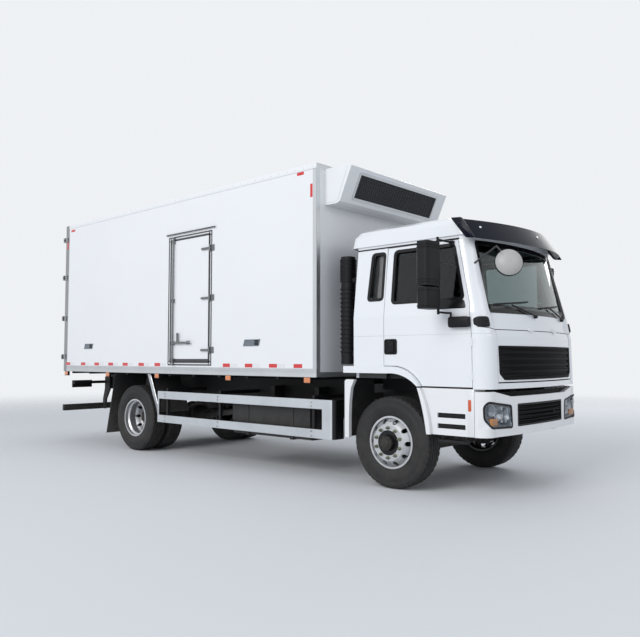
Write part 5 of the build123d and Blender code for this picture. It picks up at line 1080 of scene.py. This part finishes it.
# Arch liners. Black plastic sheets that close the inner side of each front wheel arch under the floor.
liner = block((-0.500, 0.480), (-0.606, -0.600), (1.085, 1.2395))
build("arch_liners", both([liner]), "cab", dark_plastic)

# Cab inside. Grained dark dashboard, sprung seats with crowned, stitched cloth cushions, and curtains
# gathered on the quarter windows.
cab_trim = finish("cab trim", (0.050, 0.050, 0.054), 0.6, vary=0.1, grain=0.4, grain_scale=300)
seat_cloth = finish("seat cloth", (0.050, 0.050, 0.058), 0.9, vary=0.15, grain=0.6, grain_scale=500)
dress("dashboard", cab_trim)


def bent(value, power):
    """A value's power, with the value's sign."""
    return np.sign(value) * np.abs(value) ** power


def cushion(centre, half, lean=0.0, channels=2):
    """A crowned pad x = cos(u)^0.35 cos(v)^0.28, y = cos(u)^0.35 sin(v)^0.28, z = sin(u)^0.45 with the signs
    kept. Its sides are drawn in between the corners, sewn channels are pressed into both faces, and it is
    tilted about the truck's cross axis."""
    u = np.linspace(-math.pi / 2, math.pi / 2, 33)[:, None]
    v = np.linspace(0, 2 * math.pi, 72, endpoint=False)[None]
    x = bent(np.cos(u), 0.35) * bent(np.cos(v), 0.28)
    y = bent(np.cos(u), 0.35) * bent(np.sin(v), 0.28)
    z = bent(np.sin(u), 0.45) + 0 * v
    pull = 1 - 0.045 * (np.cos(math.pi * x / 2) * (np.abs(y) > 0.7)
                        + np.cos(math.pi * y / 2) * (np.abs(x) > 0.7))
    seam = sum(np.exp(-((y - place) / 0.04) ** 2) for place in np.linspace(-0.5, 0.5, channels))
    z = z * (1 - 0.10 * seam * (np.abs(z) > 0.5))
    x, y, z = half[0] * x * pull, half[1] * y * pull, half[2] * z
    turned = (centre[0] + x * math.cos(lean) + z * math.sin(lean), centre[1] + y,
              centre[2] - x * math.sin(lean) + z * math.cos(lean))
    return skin(np.stack(turned, -1))


def gathered(x, wide, low, high, pleats, depth):
    """A gathered curtain on the right quarter window, u across it and v from 0 at the head to 1 at the hem:
    folds of depth (0.75 + 0.35 v) sin(2 pi pleats u), drawn in at half its height by
    0.22 exp(-((v - 0.45) / 0.18)^2)."""
    u = np.linspace(0, 1, 12 * pleats + 1)[None]
    v = np.linspace(0, 1, 25)[:, None]
    waist = 1 - 0.22 * np.exp(-((v - 0.45) / 0.18) ** 2)
    across = x + wide * waist * (u - 0.5)
    fold = depth * (0.75 + 0.35 * v) * np.sin(2 * math.pi * pleats * u)
    height = high - (high - low) * v + 0 * u
    out = 1.060 - SIDE_LEAN * np.maximum(height - BELT, 0)
    return np.stack([across, -out + fold, height], -1)


curtain_cloth = finish("curtain cloth", (0.80, 0.80, 0.76), 0.9, vary=0.1, scale=8, grain=0.4,
                       grain_scale=900)
for side, name in SIDES:
    cloth = gathered(-0.215, 0.075, 2.110, 2.735, 7, 0.013) * (1, -side, 1)
    curtain = build(f"curtain_{name}", [skin(cloth, wrap=False, caps=False)], "cab",
                    curtain_cloth, angle=80)
for y, name in ((-0.705, "passenger"), (0.705, "driver")):
    seat = [cushion((0.150, y, 1.684), (0.255, 0.250, 0.084)),
            cushion((-0.070, y, 2.050), (0.350, 0.240, 0.064), lean=math.radians(-96))]
    build(f"{name}_seat_cushions", seat, "cab", seat_cloth)
bases = [block((-0.055, 0.355), (y - 0.22, y + 0.22), (1.302, 1.600)) for y in (-0.705, 0.705)]
build("seat_bases", bases, "cab", cab_trim, bevel=0.01, replaced=["seats"])
